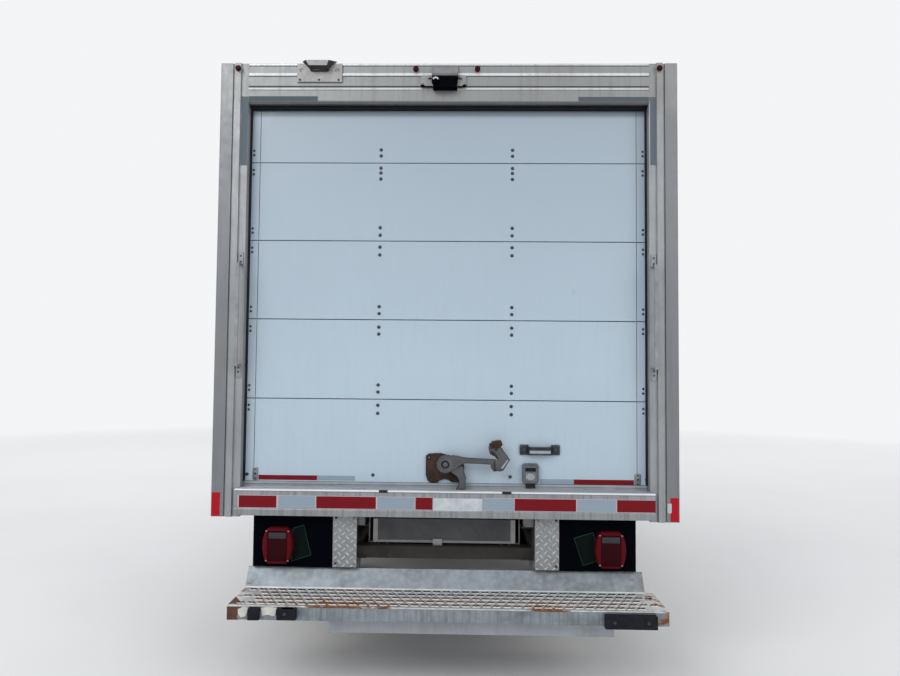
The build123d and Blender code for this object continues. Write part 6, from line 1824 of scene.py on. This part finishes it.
def sew(thing, name):
    """Presses the sewn channels and the edge seam into a cover."""
    mesh = thing.data
    mesh.update()
    normals = [v.normal.copy() for v in mesh.vertices]
    front = SEAT_Y + 0.24
    for vertex, normal in zip(mesh.vertices, normals):
        place = vertex.co
        dips = [0.0]
        if name == "cushion" and normal.z > 0.35:
            if place.y > front:
                start = min(1.0, (place.y - SEAT_Y - 0.24) / 0.05)
                dips += [seam_dip(place.x - x, 0.008, 0.007) * start for x in (-0.135, -0.048, 0.048, 0.135)]
            dips.append(seam_dip(abs(place.x) - 0.190, 0.006, 0.006))
        if name == "back" and normal.y > 0.35:
            if 1.08 < place.z < 1.42:
                dips += [seam_dip(place.x - x, 0.008, 0.007) for x in (-0.130, -0.045, 0.045, 0.130)]
            dips.append(seam_dip(abs(place.x) - 0.186, 0.006, 0.006))
            dips.append(seam_dip(place.z - 1.425, 0.006, 0.006))
        if name == "headrest" and normal.y > 0.35:
            dips.append(seam_dip(place.z - 1.600, 0.004, 0.005))
        vertex.co = place - normal * max(dips)


def seats():
    things = [stuffed(outline, half) for _, half, outline, _ in SEAT_PARTS]
    swell(things, [part[3] for part in SEAT_PARTS])
    plinth = Build("cab_plastic", "black_metal", "bolt_dark")
    for side in (-1, 1):
        x = side * SEAT_X
        outline = [(SEAT_Y + y, z) for y, z in ((0.142, 0.7405), (0.588, 0.7405), (0.612, 0.872),
                                                (0.142, 0.872))]
        plinth.prism(outline, 0, x - 0.215, x + 0.215, 0)
        for dx in (-0.055, 0.055):
            plinth.tube([(x + dx, SEAT_Y + 0.055, 1.470), (x + dx, SEAT_Y + 0.060, 1.545)], 0.0065, 10, 2)
        outer = side * (SEAT_X + 0.2165)
        plinth.box(*sorted((outer, outer - side * 0.004)), SEAT_Y + 0.300, SEAT_Y + 0.470, 0.845, 0.868, 1)
    pieces = [plinth.piece("seat_plinths", slot="cab_plastic", bevel=0.004)]
    for thing, part in zip(things, SEAT_PARTS):
        sew(thing, part[0])
        for label, side in (("left", -1), ("right", 1)):
            made = linked(f"seat_{part[0]}_{label}", thing.data.copy())
            for vertex in made.data.vertices:
                vertex.co.x += side * SEAT_X
            made.data.materials.clear()
            made.data.materials.append(M["seat_cloth"].mat)
            made.data.shade_smooth()
            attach(made, "truck")
            pieces.append(made)
        bpy.data.objects.remove(thing)
    for made in pieces:
        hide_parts("seats")


seats()


# Inside the cab: instrument hood and dials, vents, slot with two knobs, door armrests and winders
def cab_inside():
    made = Build("cab_plastic", "black_gap", "bolt_dark", "grey_plastic")
    y = 1.700
    hood = [(y - 0.055, 1.150), (y - 0.075, 1.225), (y - 0.020, 1.272), (y + 0.120, 1.262),
            (y + 0.150, 1.200)]
    made.prism(hood, 0, -0.680, -0.280, 0)
    dial = [(y - 0.0775, 1.158), (y - 0.0755, 1.222), (y - 0.0600, 1.218), (y - 0.0600, 1.160)]
    made.prism(dial, 0, -0.655, -0.305, 1)
    for x in (-0.560, -0.400):
        made.lathe([(-0.002, 0.029), (0.0015, 0.029), (0.0015, 0.026), (0.0, 0.025)],
                   (x, y - 0.0770, 1.190), BACK, 24, 3)
    slope = (0, -0.96, 0.28)
    for x0, x1 in ((-0.880, -0.740), (-0.150, 0.150), (0.740, 0.880)):
        for index in range(5):
            z = 1.108 + 0.0115 * index
            back = 1.676 + 0.010 - (z - 1.100) * 0.05
            made.box(x0, x1, back - 0.0125, back + 0.020, z, z + 0.0042, 1)
    made.box(-0.110, 0.110, 1.674, 1.700, 1.020, 1.086, 1)
    for x in (-0.085, 0.085):
        made.lathe([(0, 0.011), (0.012, 0.010), (0.014, 0.007)], (x, 1.674, 1.053), slope, 16, 2)
    made.piece("dashboard_fittings", slot="cab_plastic", bevel=0.003)
    for side, body in DOORS:
        inner = Build("cab_plastic", "bolt_dark")
        x = side * 0.925
        rest = [(x + side * 0.002, 0.985), (x + side * 0.002, 1.055), (x - side * 0.045, 1.055),
                (x - side * 0.045, 1.025)]
        inner.prism(rest, 1, FRONT_AXLE - 1.220, FRONT_AXLE - 0.840, 0)
        knob_y, knob_z = FRONT_AXLE - 0.730, 1.000
        inner.lathe([(-0.002, 0.022), (0.012, 0.020), (0.016, 0.012)], (x, knob_y, knob_z), (-side, 0, 0),
                    20, 0)
        bend = (x - side * 0.022, knob_y - 0.040, knob_z + 0.030)
        end = (x - side * 0.022, knob_y - 0.075, knob_z + 0.052)
        inner.tube([(x - side * 0.014, knob_y, knob_z), bend, end], 0.0065, 8, 0)
        inner.lathe([(0, 0.010), (0.030, 0.009), (0.034, 0.004)], (x - side * 0.018, *end[1:]),
                    (-side, 0, 0), 14, 0)
        inner.box(*sorted((x + side * 0.001, x - side * 0.012)), FRONT_AXLE - 0.800, FRONT_AXLE - 0.700,
                  1.128, 1.160, 1)
        inner.piece(f"door_trim_{body}", body, "cab_plastic", bevel=0.003)


cab_inside()
